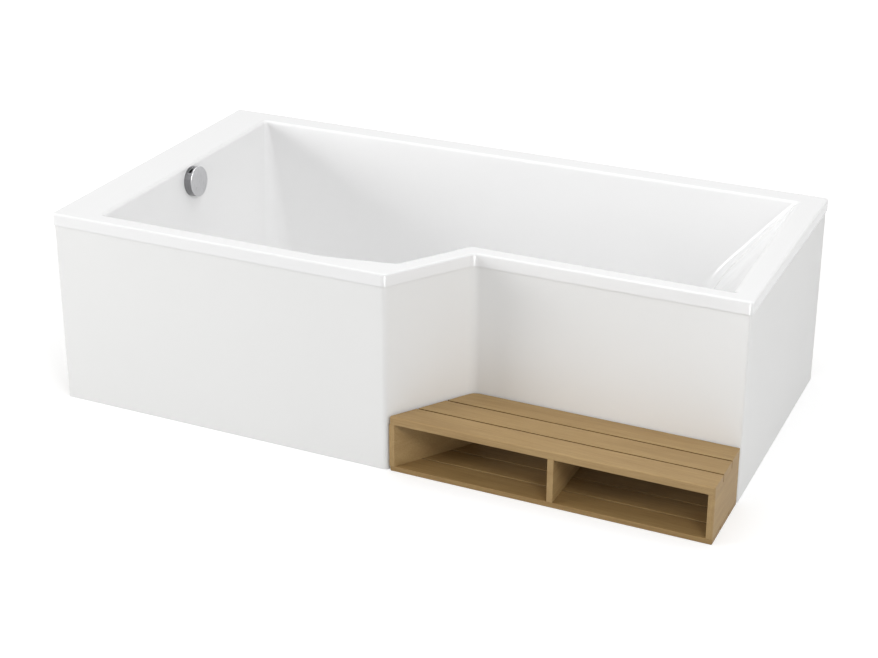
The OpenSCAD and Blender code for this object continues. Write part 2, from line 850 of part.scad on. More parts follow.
module overflow_body() {
    color(plastic) difference() {
        union() {
            at_overflow() translate([0, 0, -overflow_back])
                cylinder(r = gasket_r, h = overflow_back - chamber_front);
            translate([chamber_x, waste_y, hose_top_z - spigot_l])
                cylinder(r = spigot_r, h = spigot_l + spigot_root);
            translate([chamber_x, cable_y, cable_top_z]) cylinder(r = gland_r, h = gland_l);
        }
        at_overflow() translate([0, 0, plastic_t - overflow_back])
            cylinder(r = gasket_r - plastic_t, h = chamber_l - plastic_t);
        at_overflow() translate([0, 0, plastic_t - bearing_depth - overflow_back - run])
            cylinder(r = spindle_r + run, h = plastic_t);
        at_overflow() translate([0, 0, -overflow_back / 2]) cylinder(r = throat_r + run, h = overflow_back);
        translate([chamber_x, waste_y, hose_top_z - spigot_l - cut])
            cylinder(r = spigot_r - spigot_t, h = spigot_l + spigot_root - root_t);
    }
}

// A route in an upright plane: down from z_top, round a bend, and along +X at z_low
function route_length(z_top, z_low, bend, x_top, x_end) =
    z_top - z_low - bend + bend * PI / 2 + x_end - x_top - bend;
function route_angle(s, z_top, z_low, bend) =
    min(90, max(0, (s - (z_top - z_low - bend)) / bend * 180 / PI));
function route_point(s, z_top, z_low, bend, x_top, y) =
    let (fall = z_top - z_low - bend, arc = bend * PI / 2, a = route_angle(s, z_top, z_low, bend))
    s < fall ? [x_top, y, z_top - s]
    : s < fall + arc ? [x_top + bend * (1 - cos(a)), y, z_low + bend * (1 - sin(a))]
    : [x_top + bend + s - fall - arc, y, z_low];
function route_ring(s, r, z_top, z_low, bend, x_top, y) =
    let (a = route_angle(s, z_top, z_low, bend), across = [cos(a), 0, sin(a)])
    [for (k = [0:hose_sides - 1])
        let (w = 360 * (k + 0.5) / hose_sides)
        route_point(s, z_top, z_low, bend, x_top, y) + r * (cos(w) * across - sin(w) * [0, 1, 0])];

// A tube with ribs outside and a smooth bore, as one closed surface
module hollow_loft(outside, inside) {
    n = len(outside[0]);
    a = len(outside);
    b = len(inside);
    skin_out = [for (j = [0:a - 2]) for (i = [0:n - 1])
        let (p = j * n + i, q = j * n + (i + 1) % n) each [[p, q, q + n], [p, q + n, p + n]]];
    skin_in = [for (j = [a:a + b - 2]) for (i = [0:n - 1])
        let (p = j * n + i, q = j * n + (i + 1) % n) each [[p, q + n, q], [p, p + n, q + n]]];
    rim_top = [for (i = [0:n - 1])
        let (p = i, q = (i + 1) % n, u = a * n + i, v = a * n + (i + 1) % n) each [[p, u, v], [p, v, q]]];
    rim_end = [for (i = [0:n - 1])
        let (p = (a - 1) * n + i, q = (a - 1) * n + (i + 1) % n,
             u = (a + b - 1) * n + i, v = (a + b - 1) * n + (i + 1) % n) each [[p, v, u], [p, q, v]]];
    polyhedron([for (ring = concat(outside, inside)) each ring], concat(skin_out, skin_in, rim_top, rim_end));
}

module overflow_hose() {
    plain_l = 2 * hose_root_r;
    length = route_length(hose_top_z, hose_port_z, hose_bend_r, chamber_x, hose_end_x);
    ribs = floor((length - 2 * plain_l) / rib_pitch);
    rib_start = (length - ribs * rib_pitch) / 2;
    stations = concat([[0, hose_root_r]],
        [for (k = [0:2 * ribs]) [rib_start + k * rib_pitch / 2, k % 2 == 1 ? hose_crest_r : hose_root_r]],
        [[length, hose_root_r]]);
    bore_rings = 24;
    color(plastic) hollow_loft(
        [for (p = stations)
            route_ring(p[0], p[1], hose_top_z, hose_port_z, hose_bend_r, chamber_x, waste_y)],
        [for (k = [0:bore_rings])
            route_ring(length * k / bore_rings, hose_bore_r, hose_top_z, hose_port_z, hose_bend_r,
                       chamber_x, waste_y)]
    );
}

module hose_collars() {
    color(plastic) {
        translate([chamber_x, waste_y, hose_top_z])
            tube(collar_r, hose_root_r + run, -collar_start - collar_l, -collar_start);
        translate([hose_end_x, waste_y, hose_port_z]) rotate([0, 90, 0])
            tube(collar_r, hose_root_r + run, -collar_start - collar_l, -collar_start);
    }
}

module control_cable() {
    rings = 40;
    length = route_length(cable_top_z, cable_z, cable_bend_r, chamber_x, cable_end_x);
    color(rubber) loft([for (k = [0:rings])
        route_ring(length * k / rings, cable_r, cable_top_z, cable_z, cable_bend_r, chamber_x, cable_y)]);
}

// Drain
module waste_flange() {
    guide_z = body_top - guide_h;
    color(chrome_like) at_drain() {
        rotate_extrude() polygon([[throat_bore_r, guide_z], [throat_r, guide_z],
                                  [throat_r, floor_h], [flange_r, floor_h],
                                  [flange_r, flange_top - plate_bevel], [flange_r - plate_bevel, flange_top],
                                  [seal_seat_r, flange_top],
                                  [seal_seat_r, throat_top], [throat_bore_r, throat_top]]);
        spokes(guide_z + spoke_sink, guide_z + guide_h);
    }
}

module waste_gasket() {
    color(rubber) at_drain() tube(flange_r, waste_hole_r, body_top, under_floor_z);
}

module waste_body() {
    color(plastic) difference() {
        union() {
            at_drain() {
                translate([0, 0, body_floor - plastic_t])
                    cylinder(r = body_r, h = body_top - body_floor + plastic_t);
                translate([0, 0, body_top - body_flange_t]) cylinder(r = flange_r, h = body_flange_t);
                translate([0, 0, dip_end_z]) cylinder(r = dip_r, h = body_floor - dip_end_z);
            }
            translate([hose_end_x - spigot_l, waste_y, hose_port_z]) rotate([0, 90, 0])
                cylinder(r = spigot_r, h = drain_x - hose_end_x);
            translate([cable_end_x, cable_y, cable_z]) rotate([0, 90, 0]) cylinder(r = gland_r, h = gland_l);
        }
        at_drain() {
            translate([0, 0, body_floor]) cylinder(r = body_bore_r, h = body_top);
            translate([0, 0, dip_end_z - cut]) cylinder(r = dip_r - dip_wall, h = body_top);
        }
        translate([drain_x + lever_l, waste_y - pin_l / 2, pivot_z]) rotate([-90, 0, 0])
            cylinder(r = pin_r + run, h = pin_l);
        translate([hose_end_x - spigot_l - cut, waste_y, hose_port_z]) rotate([0, 90, 0])
            cylinder(r = spigot_r - spigot_t, h = drain_x - hose_end_x + cut);
    }
}

module plug_cap() {
    color(chrome_like) at_drain() translate([0, 0, cap_z]) difference() {
        rotate_extrude() polygon(concat([[0, 0], [plug_r - cap_edge, 0]],
            [for (a = [0:15:90]) [plug_r * cos(a), cap_edge + (cap_h - cap_edge) * sin(a)]]));
        translate([0, 0, -cut]) cylinder(r = spindle_r, h = cap_socket + cut);
    }
}

module plug_seal() {
    color(rubber) at_drain() tube(seal_seat_r - seat, spindle_r, throat_top + seat, cap_z);
}

module plug_stem() {
    color(steel) at_drain() translate([0, 0, stem_end_z])
        cylinder(r = spindle_r, h = cap_z + cap_socket - stem_end_z);
}

module lift_lever() {
    color(plastic) translate([drain_x, waste_y, pivot_z]) difference() {
        union() {
            block([0, -lever_w / 2, -lever_t / 2], [lever_l, lever_w / 2, lever_t / 2]);
            for (x = [0, lever_l])
                translate([x, -lever_w / 2, 0]) rotate([-90, 0, 0]) cylinder(r = tip_r, h = lever_w);
        }
        translate([lever_l, -lever_w, 0]) rotate([-90, 0, 0]) cylinder(r = pin_r + run, h = 2 * lever_w);
    }
}

module lever_pin() {
    color(steel) translate([drain_x + lever_l, waste_y - pin_l / 2, pivot_z]) rotate([-90, 0, 0])
        cylinder(r = pin_r, h = pin_l);
}

module slip_nuts() {
    nut_y = waste_y + socket_start + socket_l;
    nut_over = 1.5;
    color(plastic) {
        at_drain() translate([0, 0, trap_top]) ring_nut(trap_r, dip_r + run, trap_nut_h);
        translate([drain_x, nut_y, pipe_z]) rotate([-90, 0, 0])
            ring_nut(outlet_r + nut_over, pipe_r + run, outlet_nut_h);
    }
}

module ring_nut(outer, inner, height) {
    difference() {
        cylinder(r = outer, h = height, $fn = 12);
        translate([0, 0, -cut]) cylinder(r = inner, h = height + 2 * cut);
    }
}

module trap_body() {
    bowl_z = trap_base + plastic_t;
    color(plastic) at_drain() difference() {
        union() {
            translate([0, 0, trap_base]) cylinder(r = trap_r, h = trap_top - trap_base);
            translate([0, 0, pipe_z]) rotate([-90, 0, 0]) cylinder(r = outlet_r, h = socket_start + socket_l);
        }
        translate([0, 0, bowl_z]) cylinder(r = trap_r - plastic_t, h = trap_top - plastic_t - bowl_z);
        translate([0, 0, bowl_z]) cylinder(r = dip_r + run, h = trap_top);
        translate([0, 0, pipe_z]) rotate([-90, 0, 0])
            cylinder(r = pipe_r - plastic_t, h = socket_start + cut);
        translate([0, socket_start, pipe_z]) rotate([-90, 0, 0])
            cylinder(r = pipe_r + run, h = socket_l + cut);
    }
}

module outlet_pipe() {
    pipe_start = waste_y + socket_start;
    ring_start = pipe_end - spigot_end_l - stop_ring_w;
    color(plastic) translate([drain_x, 0, pipe_z]) rotate([-90, 0, 0]) {
        tube(pipe_r, pipe_r - pipe_wall, pipe_start, pipe_end);
        tube(pipe_r + stop_ring_h, pipe_r - pipe_wall / 2, ring_start, ring_start + stop_ring_w);
    }
}

module pipe_saddle() {
    saddle_w = 20;
    saddle_t = 6;
    saddle_half = pipe_r + saddle_t;
    saddle_rise = 4;
    saddle_y = back - 160;
    color(plastic) difference() {
        block([drain_x - saddle_half, saddle_y, 0],
              [drain_x + saddle_half, saddle_y + saddle_w, pipe_z + saddle_rise]);
        translate([drain_x, saddle_y - cut, pipe_z]) rotate([-90, 0, 0])
            cylinder(r = pipe_r + run, h = saddle_w + 2 * cut);
    }
}

// Step
function slat_y(i) = step_front + i * (slat_w + slat_gap);

module step_plan_solid() {
    linear_extrude(step_h) polygon(step_plan);
}

// A slat with rounded long edges, cut to the step's plan and drilled for its dowels
module slat(i, z, t) {
    r = slat_round;
    profile = [for (corner = [[r, r, 180], [slat_w - r, r, 270], [slat_w - r, t - r, 0], [r, t - r, 90]])
        for (k = [0:3]) [corner[0] + r * cos(corner[2] + 30 * k), corner[1] + r * sin(corner[2] + 30 * k)]];
    color(oak) difference() {
        intersection() {
            translate([step_left_front.x - 1, slat_y(i), z]) rotate([90, 0, 90])
                linear_extrude(step_right - step_left_front.x + 2) polygon(profile);
            step_plan_solid();
        }
        dowel_set(dowel_r + run);
    }
}

module top_slat(i) {
    slat(i, step_h - top_slat_t, top_slat_t);
}

module low_slat(i) {
    slat(i, 0, low_slat_t);
}

// Boards between the two rows of slats
module step_slant_board() {
    across = [slant_board_w / return_dir.y, 0];
    color(oak) difference() {
        translate([0, 0, low_slat_t]) linear_extrude(side_h)
            polygon([step_left_front, step_left_front + across, step_left_back + across, step_left_back]);
        dowel_set(dowel_r + run);
    }
}

module upright(x_low) {
    color(oak) difference() {
        block([x_low, step_front, low_slat_t], [x_low + board_w, step_back, low_slat_t + side_h]);
        dowel_set(dowel_r + run);
    }
}

module step_end_board() {
    upright(step_right - board_w);
}

module step_divider() {
    upright(divider_x - board_w / 2);
}

module dowel_set(r) {
    low_z = low_slat_t - dowel_in_low;
    high_z = step_h - top_slat_t - dowel_l + dowel_in_top;
    for (i = [0:slats - 1]) {
        y = slat_y(i) + slat_w / 2;
        slant_x = crossing(step_line, return_dir, [0, y], [1, 0]).x + slant_board_w / return_dir.y / 2;
        for (x = [slant_x, divider_x, step_right - board_w / 2])
            for (z = [low_z, high_z]) translate([x, y, z]) cylinder(r = r, h = dowel_l);
    }
}

module step_dowels() {
    color(timber) dowel_set(dowel_r);
}

tub_shell();
baseboard();
rim_batten_front();
rim_batten_narrow();
rim_batten_right();
rim_batten_back();
rim_batten_left();
cross_bar_wide();
cross_bar_narrow();
centre_foot_plate();
cradle_screws();
leg_nuts();
leg_rod(0);  // leg_rod_1
leg_rod(1);  // leg_rod_2
leg_rod(2);  // leg_rod_3
leg_rod(3);  // leg_rod_4
leg_rod(4);  // leg_rod_5
foot_pad(0);  // foot_pad_1
foot_pad(1);  // foot_pad_2
foot_pad(2);  // foot_pad_3
foot_pad(3);  // foot_pad_4
foot_pad(4);  // foot_pad_5
wall_clips();
front_panel();
end_panel();
floor_batten_front();
floor_batten_narrow();
floor_batten_end();
panel_clips();
overflow_knob();
knob_spindle();
cable_drum();
overflow_plate();
overflow_gasket();
overflow_body();
overflow_hose();
hose_collars();
control_cable();
waste_flange();
waste_gasket();
waste_body();
plug_cap();
plug_seal();
plug_stem();
lift_lever();
lever_pin();
trap_body();
slip_nuts();
outlet_pipe();
pipe_saddle();
top_slat(0);  // top_slat_front
top_slat(1);  // top_slat_middle
top_slat(2);  // top_slat_back
low_slat(0);  // low_slat_front
low_slat(1);  // low_slat_middle
low_slat(2);  // low_slat_back
step_slant_board();
step_end_board();
step_divider();
step_dowels();
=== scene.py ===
"""Looks of the corner shower bath: camera, floor, light, materials and the finer pieces."""

from math import acos, atan2, cos, pi, radians, sin, tan

import bmesh
import bpy
from mathutils import Matrix, Vector


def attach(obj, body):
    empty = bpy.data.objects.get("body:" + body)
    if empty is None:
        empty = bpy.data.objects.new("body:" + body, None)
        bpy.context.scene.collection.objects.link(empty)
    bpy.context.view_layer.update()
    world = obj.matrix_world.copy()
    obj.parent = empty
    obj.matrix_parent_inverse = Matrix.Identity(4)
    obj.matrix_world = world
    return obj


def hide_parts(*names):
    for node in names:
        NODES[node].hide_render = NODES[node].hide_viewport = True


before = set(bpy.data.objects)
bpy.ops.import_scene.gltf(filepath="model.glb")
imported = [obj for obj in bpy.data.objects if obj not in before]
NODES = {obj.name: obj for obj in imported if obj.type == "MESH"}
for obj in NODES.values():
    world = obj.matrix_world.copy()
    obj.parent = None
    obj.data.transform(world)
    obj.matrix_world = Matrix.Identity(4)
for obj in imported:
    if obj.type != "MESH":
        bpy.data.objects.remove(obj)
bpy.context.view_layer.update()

# A millimetre in metres, and the distance in metres below which two points are one
MM = 0.001
SAME_PLACE = 1e-6

# Sizes in millimetres and leans in degrees, as in the part's source: outline and rim
BATH_L = 1700
WIDE_W = 900
NARROW_W = 700
RIM_H = 502
WIDE_L = 905
RETURN_RUN = 135
RIM_LEFT = 114
RIM_FRONT = 36
RIM_RETURN = 36
RIM_NARROW = 33
RIM_RIGHT_FRONT = 39
RIM_RIGHT_BACK = 52
RIM_BACK = 54
BULGE = 31
BULGE_L = 172
LIP_H = 32
LIP_T = 3
EDGE_R = 5

# Basin
FLOOR_H = 105
SHELL_T = 6
FRONT_TILT = 5
BACK_TILT = 4
LEFT_TILT = 5.5
BACKREST_TILT = 38
BACKREST_LOW_TILT = 26
BACKREST_KNEE = 217
KNEE_BLEND = 40
ROLL_R = 8
ROLL_DEPTH = 10
BACKREST_ROLL_R = 25
TOE_R = 45
TOE_TURN = 84

# Panels
PANEL_FACE = 3.4
PANEL_T = 4
PANEL_TOP = 494

# Overflow, waste and plug
OVERFLOW_DROP = 45
DRAIN_INSET = 88
WASTE_HOLE_R = 26
KNOB_R = 40
KNOB_L = 22.5
THROAT_R = 24.8
THROAT_BORE_R = 22
TRIM_FLANGE_R = 36
PLATE_R = 34
PLATE_H = 2.5
TRIM_BEVEL = 1
PLUG_R = 33
SEAL_R = 23.7
OVERFLOW_GASKET_R = 31
SHAFT_R = 4
HUB_R = 8
GUIDE_H = 8
SPOKE_W = 3
HUB_SUNK = 0.5
BODY_TOP = 96
THROAT_TOP = 106
FLANGE_TOP = 107.5
CAP_Z = 107.8
CHAMBER_FRONT = 9
CHAMBER_MIDDLE = 22.5
PLAY = 0.05

# Hose and cable
HOSE_BORE_R = 13.855
HOSE_ROOT_R = 15.255
HOSE_CREST_R = 16.855
RIB_PITCH = 6
HOSE_Z = 76.245
HOSE_BEND = 60
HOSE_DROP = 36
HOSE_PORT = 33
CABLE_R = 2.5
CABLE_Z = 67
CABLE_BEND = 75
CABLE_ASIDE = 24.655
CABLE_DROP = 4
CABLE_PORT = 34

# Cradle
BAR_WIDE_INSET = 450
BAR_NARROW_INSET = 520
FOOT_INSET = 50
ROD_R = 5
THREAD_PITCH = 1.5
THREAD_DEPTH = 0.75
PAD_R = 20
PAD_H = 14
PAD_SOCKET = 4
BOARD_Z = 84
BAR_T = 2.5
PLATE_T = 3
ROD_TOP = 110
CENTRE_ROD_TOP = 82
NUT_R = 9.8
NUT_T = 8
SCREW_R = 2
SCREW_HEAD_H = 2.5
SCREW_L = 10

# Step
STEP_H = 143
TOP_SLAT_T = 20
LOW_SLAT_T = 13
SLATS = 3
SLAT_GAP = 4
BOARD_W = 15
SLANT_BOARD_W = 11
STEP_GAP = 3
STEP_SET_BACK = 5
RIGHT_ROOM = 358
CORNER_R = 5
BACK_CORNER_R = 32

# Fineness of the visible pieces
ARC_STEPS = 14
ROLL_STEPS = 10
TOE_STEPS = 12
WALL_PITCH = 9
BEND_STEP = 10
PANEL_ARC_STEPS = 20
EDGE_STEPS = 8
ROUND_TURNS = 96

# The bath's edges and its slanted return
LEFT = -BATH_L / 2
RIGHT = BATH_L / 2
FRONT = -WIDE_W / 2
BACK = WIDE_W / 2
NARROW_FRONT = BACK - NARROW_W
DEPTH = RIM_H - FLOOR_H
NOTCH = Vector((LEFT + WIDE_L, FRONT))
NOTCH_END = Vector((LEFT + WIDE_L + RETURN_RUN, NARROW_FRONT))
RETURN_DIR = (NOTCH_END - NOTCH).normalized()
RETURN_IN = Vector((-RETURN_DIR.y, RETURN_DIR.x))
ACROSS = Vector((1, 0))


def crossing(p, d, q, e):
    """Where the line through p along d crosses the line through q along e."""
    return p + d * ((q - p).cross(e) / d.cross(e))


def corners(points):
    """Each point of an outline between the one before it and the one after it."""
    return zip(points[-1:] + points[:-1], points, points[1:] + points[:1])


def moved(points, distances):
    """The outline with every side moved inwards by its own distance."""
    made = []
    for i, (before, here, after) in enumerate(corners(points)):
        into = (here - before).normalized()
        out = (after - here).normalized()
        start = here + Vector((-into.y, into.x)) * distances[i - 1]
        end = here + Vector((-out.y, out.x)) * distances[i]
        made.append(crossing(start, into, end, out))
    return made


def corner_arc(a, b, c, radius, steps=ARC_STEPS):
    """Points on the arc that rounds the corner b between a and c."""
    u = (a - b).normalized()
    v = (c - b).normalized()
    half = acos(max(-1.0, min(1.0, u.dot(v)))) / 2
    middle = b + (u + v).normalized() * (radius / sin(half))
    start = b + u * (radius / tan(half)) - middle
    first = atan2(start.y, start.x)
    side = 1 if (b - a).cross(c - b) > 0 else -1
    turn = side * (pi - 2 * half)
    angles = [first + turn * k / steps for k in range(steps + 1)]
    return [middle + radius * Vector((cos(w), sin(w))) for w in angles]


def rounded(points, radii):
    """The outline with every corner rounded by its own radius."""
    made = []
    for (before, here, after), radius in zip(corners(points), radii):
        made += corner_arc(before, here, after, radius)
    return made


# Outlines of the rim and of its opening, each with the one corner that points inwards
OUTER = [Vector((LEFT, FRONT)), NOTCH, NOTCH_END, Vector((RIGHT, NARROW_FRONT)),
         Vector((RIGHT, BACK)), Vector((LEFT, BACK))]
OUTER_R = [8, 20, 26, 8, 8, 10]
CONCAVE_OUTER = 2
RETURN_LINE = NOTCH + RETURN_IN * RIM_RETURN
BEND_X = NOTCH.x - BULGE_L
INNER = [
    Vector((LEFT + RIM_LEFT, FRONT + RIM_FRONT)),
    Vector((BEND_X, FRONT + RIM_FRONT)),
    crossing(RETURN_LINE, RETURN_DIR, Vector((0, FRONT + RIM_FRONT + BULGE)), ACROSS),
    crossing(RETURN_LINE, RETURN_DIR, Vector((0, NARROW_FRONT + RIM_NARROW)), ACROSS),
    Vector((RIGHT - RIM_RIGHT_FRONT, NARROW_FRONT + RIM_NARROW)),
    Vector((RIGHT - RIM_RIGHT_BACK, BACK - RIM_BACK)),
    Vector((LEFT + RIM_LEFT, BACK - RIM_BACK)),
]
INNER_TOP_R = [10, 400, 18, 20, 10, 10, 10]
INNER_LOW_R = [60, 400, 50, 60, 60, 60, 60]
CONCAVE_INNER = 3

# Each wall's rounding at the rim, and its leans above and below the knee
FRONT_WALL = (ROLL_R, FRONT_TILT, FRONT_TILT)
BACKREST = (BACKREST_ROLL_R, BACKREST_TILT, BACKREST_LOW_TILT)
BACK_WALL = (ROLL_R, BACK_TILT, BACK_TILT)
LEFT_WALL = (ROLL_R, LEFT_TILT, LEFT_TILT)
WALLS = [FRONT_WALL] * 4 + [BACKREST, BACK_WALL, LEFT_WALL]


def past_knee(drop):
    """How far a depth lies below the backrest's knee, which is blended."""
    if drop < BACKREST_KNEE - KNEE_BLEND:
        return 0
    if drop > BACKREST_KNEE + KNEE_BLEND:
        return drop - BACKREST_KNEE
    return (drop - BACKREST_KNEE + KNEE_BLEND) ** 2 / (4 * KNEE_BLEND)


def wall_slope(drop, wall):
    """How far a wall has moved inwards where it is straight."""
    roll, upper, lower = wall[0], radians(wall[1]), radians(wall[2])
    straight = (drop - roll * (1 - sin(upper))) * tan(upper)
    return roll * cos(upper) + straight - past_knee(drop) * (tan(upper) - tan(lower))


def wall_reach(drop, wall):
    """How far a wall has moved inwards at a depth below the rim."""
    roll, upper, lower = wall[0], radians(wall[1]), radians(wall[2])
    toe_start = DEPTH - TOE_R * (1 - sin(lower))
    if drop < roll * (1 - sin(upper)):
        return roll * sin(acos(1 - drop / roll))
    if drop < toe_start:
        return wall_slope(drop, wall)
    turned = acos(min(1, 1 - (DEPTH - drop) / TOE_R))
    return wall_slope(toe_start, wall) + TOE_R * (cos(lower) - sin(turned))


def skin(wall, thickness):
    """How far the shell's outside stands behind a leaning wall, measured level."""
    lower = radians(wall[2])
    return thickness * (1 - sin(lower)) / cos(lower)


def basin_ring(drop, thickness):
    """The basin's outline at a depth, inside the shell, or outside it with the shell's thickness."""
    part = min(1, drop / (DEPTH - TOE_R))
    reaches = [wall_reach(drop, wall) - skin(wall, thickness) for wall in WALLS]
    radii = []
    for i, (top, low) in enumerate(zip(INNER_TOP_R, INNER_LOW_R)):
        grown = -thickness if i == CONCAVE_INNER else thickness
        radii.append(top + (low - top) * part + grown)
    return rounded(moved(INNER, reaches), radii)


def outer_ring(inset):
    """The rim's outer line moved inwards, with as many points as a basin ring."""
    shrink = 0.9
    radii = [r + inset if i == CONCAVE_OUTER else r - shrink * inset for i, r in enumerate(OUTER_R)]
    ring = rounded(moved(OUTER, [inset] * len(OUTER)), radii)
    steps_from_bend = [k - ARC_STEPS / 2 for k in range(ARC_STEPS + 1)]
    straight = [Vector((BEND_X + k * BEND_STEP, FRONT + inset)) for k in steps_from_bend]
    return ring[:ARC_STEPS + 1] + straight + ring[ARC_STEPS + 1:]


# Places of the overflow, the waste, the hose and the feet
OVERFLOW_X = LEFT + RIM_LEFT + wall_reach(OVERFLOW_DROP, LEFT_WALL)
OVERFLOW_Z = RIM_H - OVERFLOW_DROP
WASTE_Y = (FRONT + RIM_FRONT + BACK - RIM_BACK) / 2
DRAIN_X = LEFT + RIM_LEFT + wall_reach(DEPTH, LEFT_WALL) + DRAIN_INSET
AT_OVERFLOW = Matrix.Translation((OVERFLOW_X, WASTE_Y, OVERFLOW_Z)) @ Matrix.Rotation(
    radians(90 - LEFT_TILT), 4, "Y")
AT_DRAIN = Matrix.Translation((DRAIN_X, WASTE_Y, 0))
CHAMBER_X = OVERFLOW_X - CHAMBER_MIDDLE * cos(radians(LEFT_TILT))
HOSE_TOP = OVERFLOW_Z - CHAMBER_MIDDLE * sin(radians(LEFT_TILT)) - HOSE_DROP
HOSE_END_X = DRAIN_X - HOSE_PORT
BAR_WIDE_X = LEFT + BAR_WIDE_INSET
BAR_NARROW_X = RIGHT - BAR_NARROW_INSET
FOOT_FRONT = FRONT + FOOT_INSET
FOOT_BACK = BACK - FOOT_INSET
FOOT_NARROW = NARROW_FRONT + FOOT_INSET
CENTRE_FOOT = ((BAR_WIDE_X + BAR_NARROW_X) / 2, (NARROW_FRONT + BACK) / 2)
BAR_FEET = [(BAR_WIDE_X, FOOT_FRONT), (BAR_WIDE_X, FOOT_BACK),
            (BAR_NARROW_X, FOOT_NARROW), (BAR_NARROW_X, FOOT_BACK)]


# Mesh helpers
def new_object(name, data):
    made = bpy.data.objects.new(name, data)
    bpy.context.scene.collection.objects.link(made)
    return made


def from_bmesh(name, bm):
    bmesh.ops.recalc_face_normals(bm, faces=bm.faces)
    mesh = bpy.data.meshes.new(name)
    bm.to_mesh(mesh)
    bm.free()
    return new_object(name, mesh)


def loft(name, rings, closed=False):
    """A surface through rings of millimetre points. It has faces at its ends, or runs round if closed."""
    bm = bmesh.new()
    rows = [[bm.verts.new(Vector(p) * MM) for p in ring] for ring in rings]
    pairs = list(zip(rows, rows[1:]))
    if closed:
        pairs.append((rows[-1], rows[0]))
    for upper, lower in pairs:
        for i in range(len(upper)):
            j = (i + 1) % len(upper)
            bm.faces.new((upper[i], upper[j], lower[j], lower[i]))
    if not closed:
        bm.faces.new(list(reversed(rows[0])))
        bm.faces.new(rows[-1])
    return from_bmesh(name, bm)


def at_height(ring, z):
    return [(p[0], p[1], z) for p in ring]


def prism(name, outline, low, high):
    return loft(name, [at_height(outline, low), at_height(outline, high)])


def polar(r, w, z):
    """The point at a radius, an angle and a height."""
    return Vector((r * cos(w), r * sin(w), z))


def tube(inner, outer, low, high):
    """The profile of a plain ring, or of a plain cylinder."""
    return [(inner, low), (outer, low), (outer, high), (inner, high)]


def lathe(name, profile, turns, place):
    """A closed profile of radius and height, turned about the z axis of a place in millimetres."""
    rings = []
    for k in range(turns):
        w = 2 * pi * k / turns
        rings.append([place @ polar(r, w, z) for r, z in profile])
    made = loft(name, rings, closed=True)
    bm = bmesh.new()
    bm.from_mesh(made.data)
    bmesh.ops.remove_doubles(bm, verts=bm.verts, dist=SAME_PLACE)
    bm.to_mesh(made.data)
    bm.free()
    return made


def smooth(obj, angle=35):
    """Shades the object smooth, apart from edges sharper than the angle."""
    obj.data.shade_smooth()
    obj.data.set_sharp_from_angle(angle=radians(angle))
    weighted = obj.modifiers.new("weighted", "WEIGHTED_NORMAL")
    weighted.keep_sharp = True
    return obj


def bevel(obj, width, segments=2, angle=30):
    """Rounds the edges that are sharper than the angle."""
    made = obj.modifiers.new("bevel", "BEVEL")
    made.width = width * MM
    made.segments = segments
    made.limit_method = "ANGLE"
    made.angle_limit = radians(angle)
    made.use_clamp_overlap = True
    made.harden_normals = True
    return obj


def cut(obj, cutter):
    """Takes the cutter away from the object, for good."""
    made = obj.modifiers.new("cut", "BOOLEAN")
    made.operation = "DIFFERENCE"
    made.solver = "EXACT"
    made.object = cutter
    bpy.context.view_layer.update()
    evaluated = obj.evaluated_get(bpy.context.evaluated_depsgraph_get())
    mesh = bpy.data.meshes.new_from_object(evaluated)
    obj.modifiers.clear()
    obj.data = mesh
    bpy.data.objects.remove(cutter)


def joined(name, parts):
    """One object made of the meshes of several, which go."""
    bm = bmesh.new()
    for part in parts:
        bm.from_mesh(part.data)
        bpy.data.objects.remove(part)
    mesh = bpy.data.meshes.new(name)
    bm.to_mesh(mesh)
    bm.free()
    return new_object(name, mesh)


def sweep(name, stations, radii, sides, closed=False):
    """Rings of their own radii round the points of a route in an upright plane."""
    along_y = Vector((0, 1, 0))
    turns = [2 * pi * k / sides for k in range(sides)]
    rings = []
    for (point, across), r in zip(stations, radii):
        rings.append([point + r * (cos(w) * across - sin(w) * along_y) for w in turns])
    return loft(name, rings, closed)


def softened(name, node_name, width):
    """A solid's shape in flat faces with softened edges, as a mesh of its own."""
    bm = bmesh.new()
    bm.from_mesh(NODES[node_name].data)
    bmesh.ops.remove_doubles(bm, verts=bm.verts, dist=SAME_PLACE)
    bmesh.ops.dissolve_limit(bm, angle_limit=radians(1), verts=bm.verts, edges=bm.edges)
    return smooth(bevel(from_bmesh(name, bm), width, angle=50))


def paint(obj, *materials):
    """Gives a piece its materials, in the order of its faces' numbers."""
    for material in materials:
        obj.data.materials.append(material)
    return obj


def wear(obj, body, slot, node, *materials):
    """Gives a piece its materials, its body and the solid that it stands for. Its slot is not used."""
    paint(obj, *materials)
    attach(obj, body)
    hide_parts(node)


# Materials
def feed(tree, value, socket):
    """Joins a socket to another node's output, or sets its number or colour."""
    if isinstance(value, bpy.types.NodeSocket):
        tree.links.new(value, socket)
    elif socket.type == "RGBA":
        socket.default_value = (*value, 1)
    else:
        socket.default_value = value


def add_node(tree, kind, inputs, **settings):
    """A new node with its settings, and with its inputs fed by name or number."""
    node = tree.nodes.new(kind)
    for key, value in settings.items():
        setattr(node, key, value)
    for key, value in inputs.items():
        feed(tree, value, node.inputs[key])
    return node


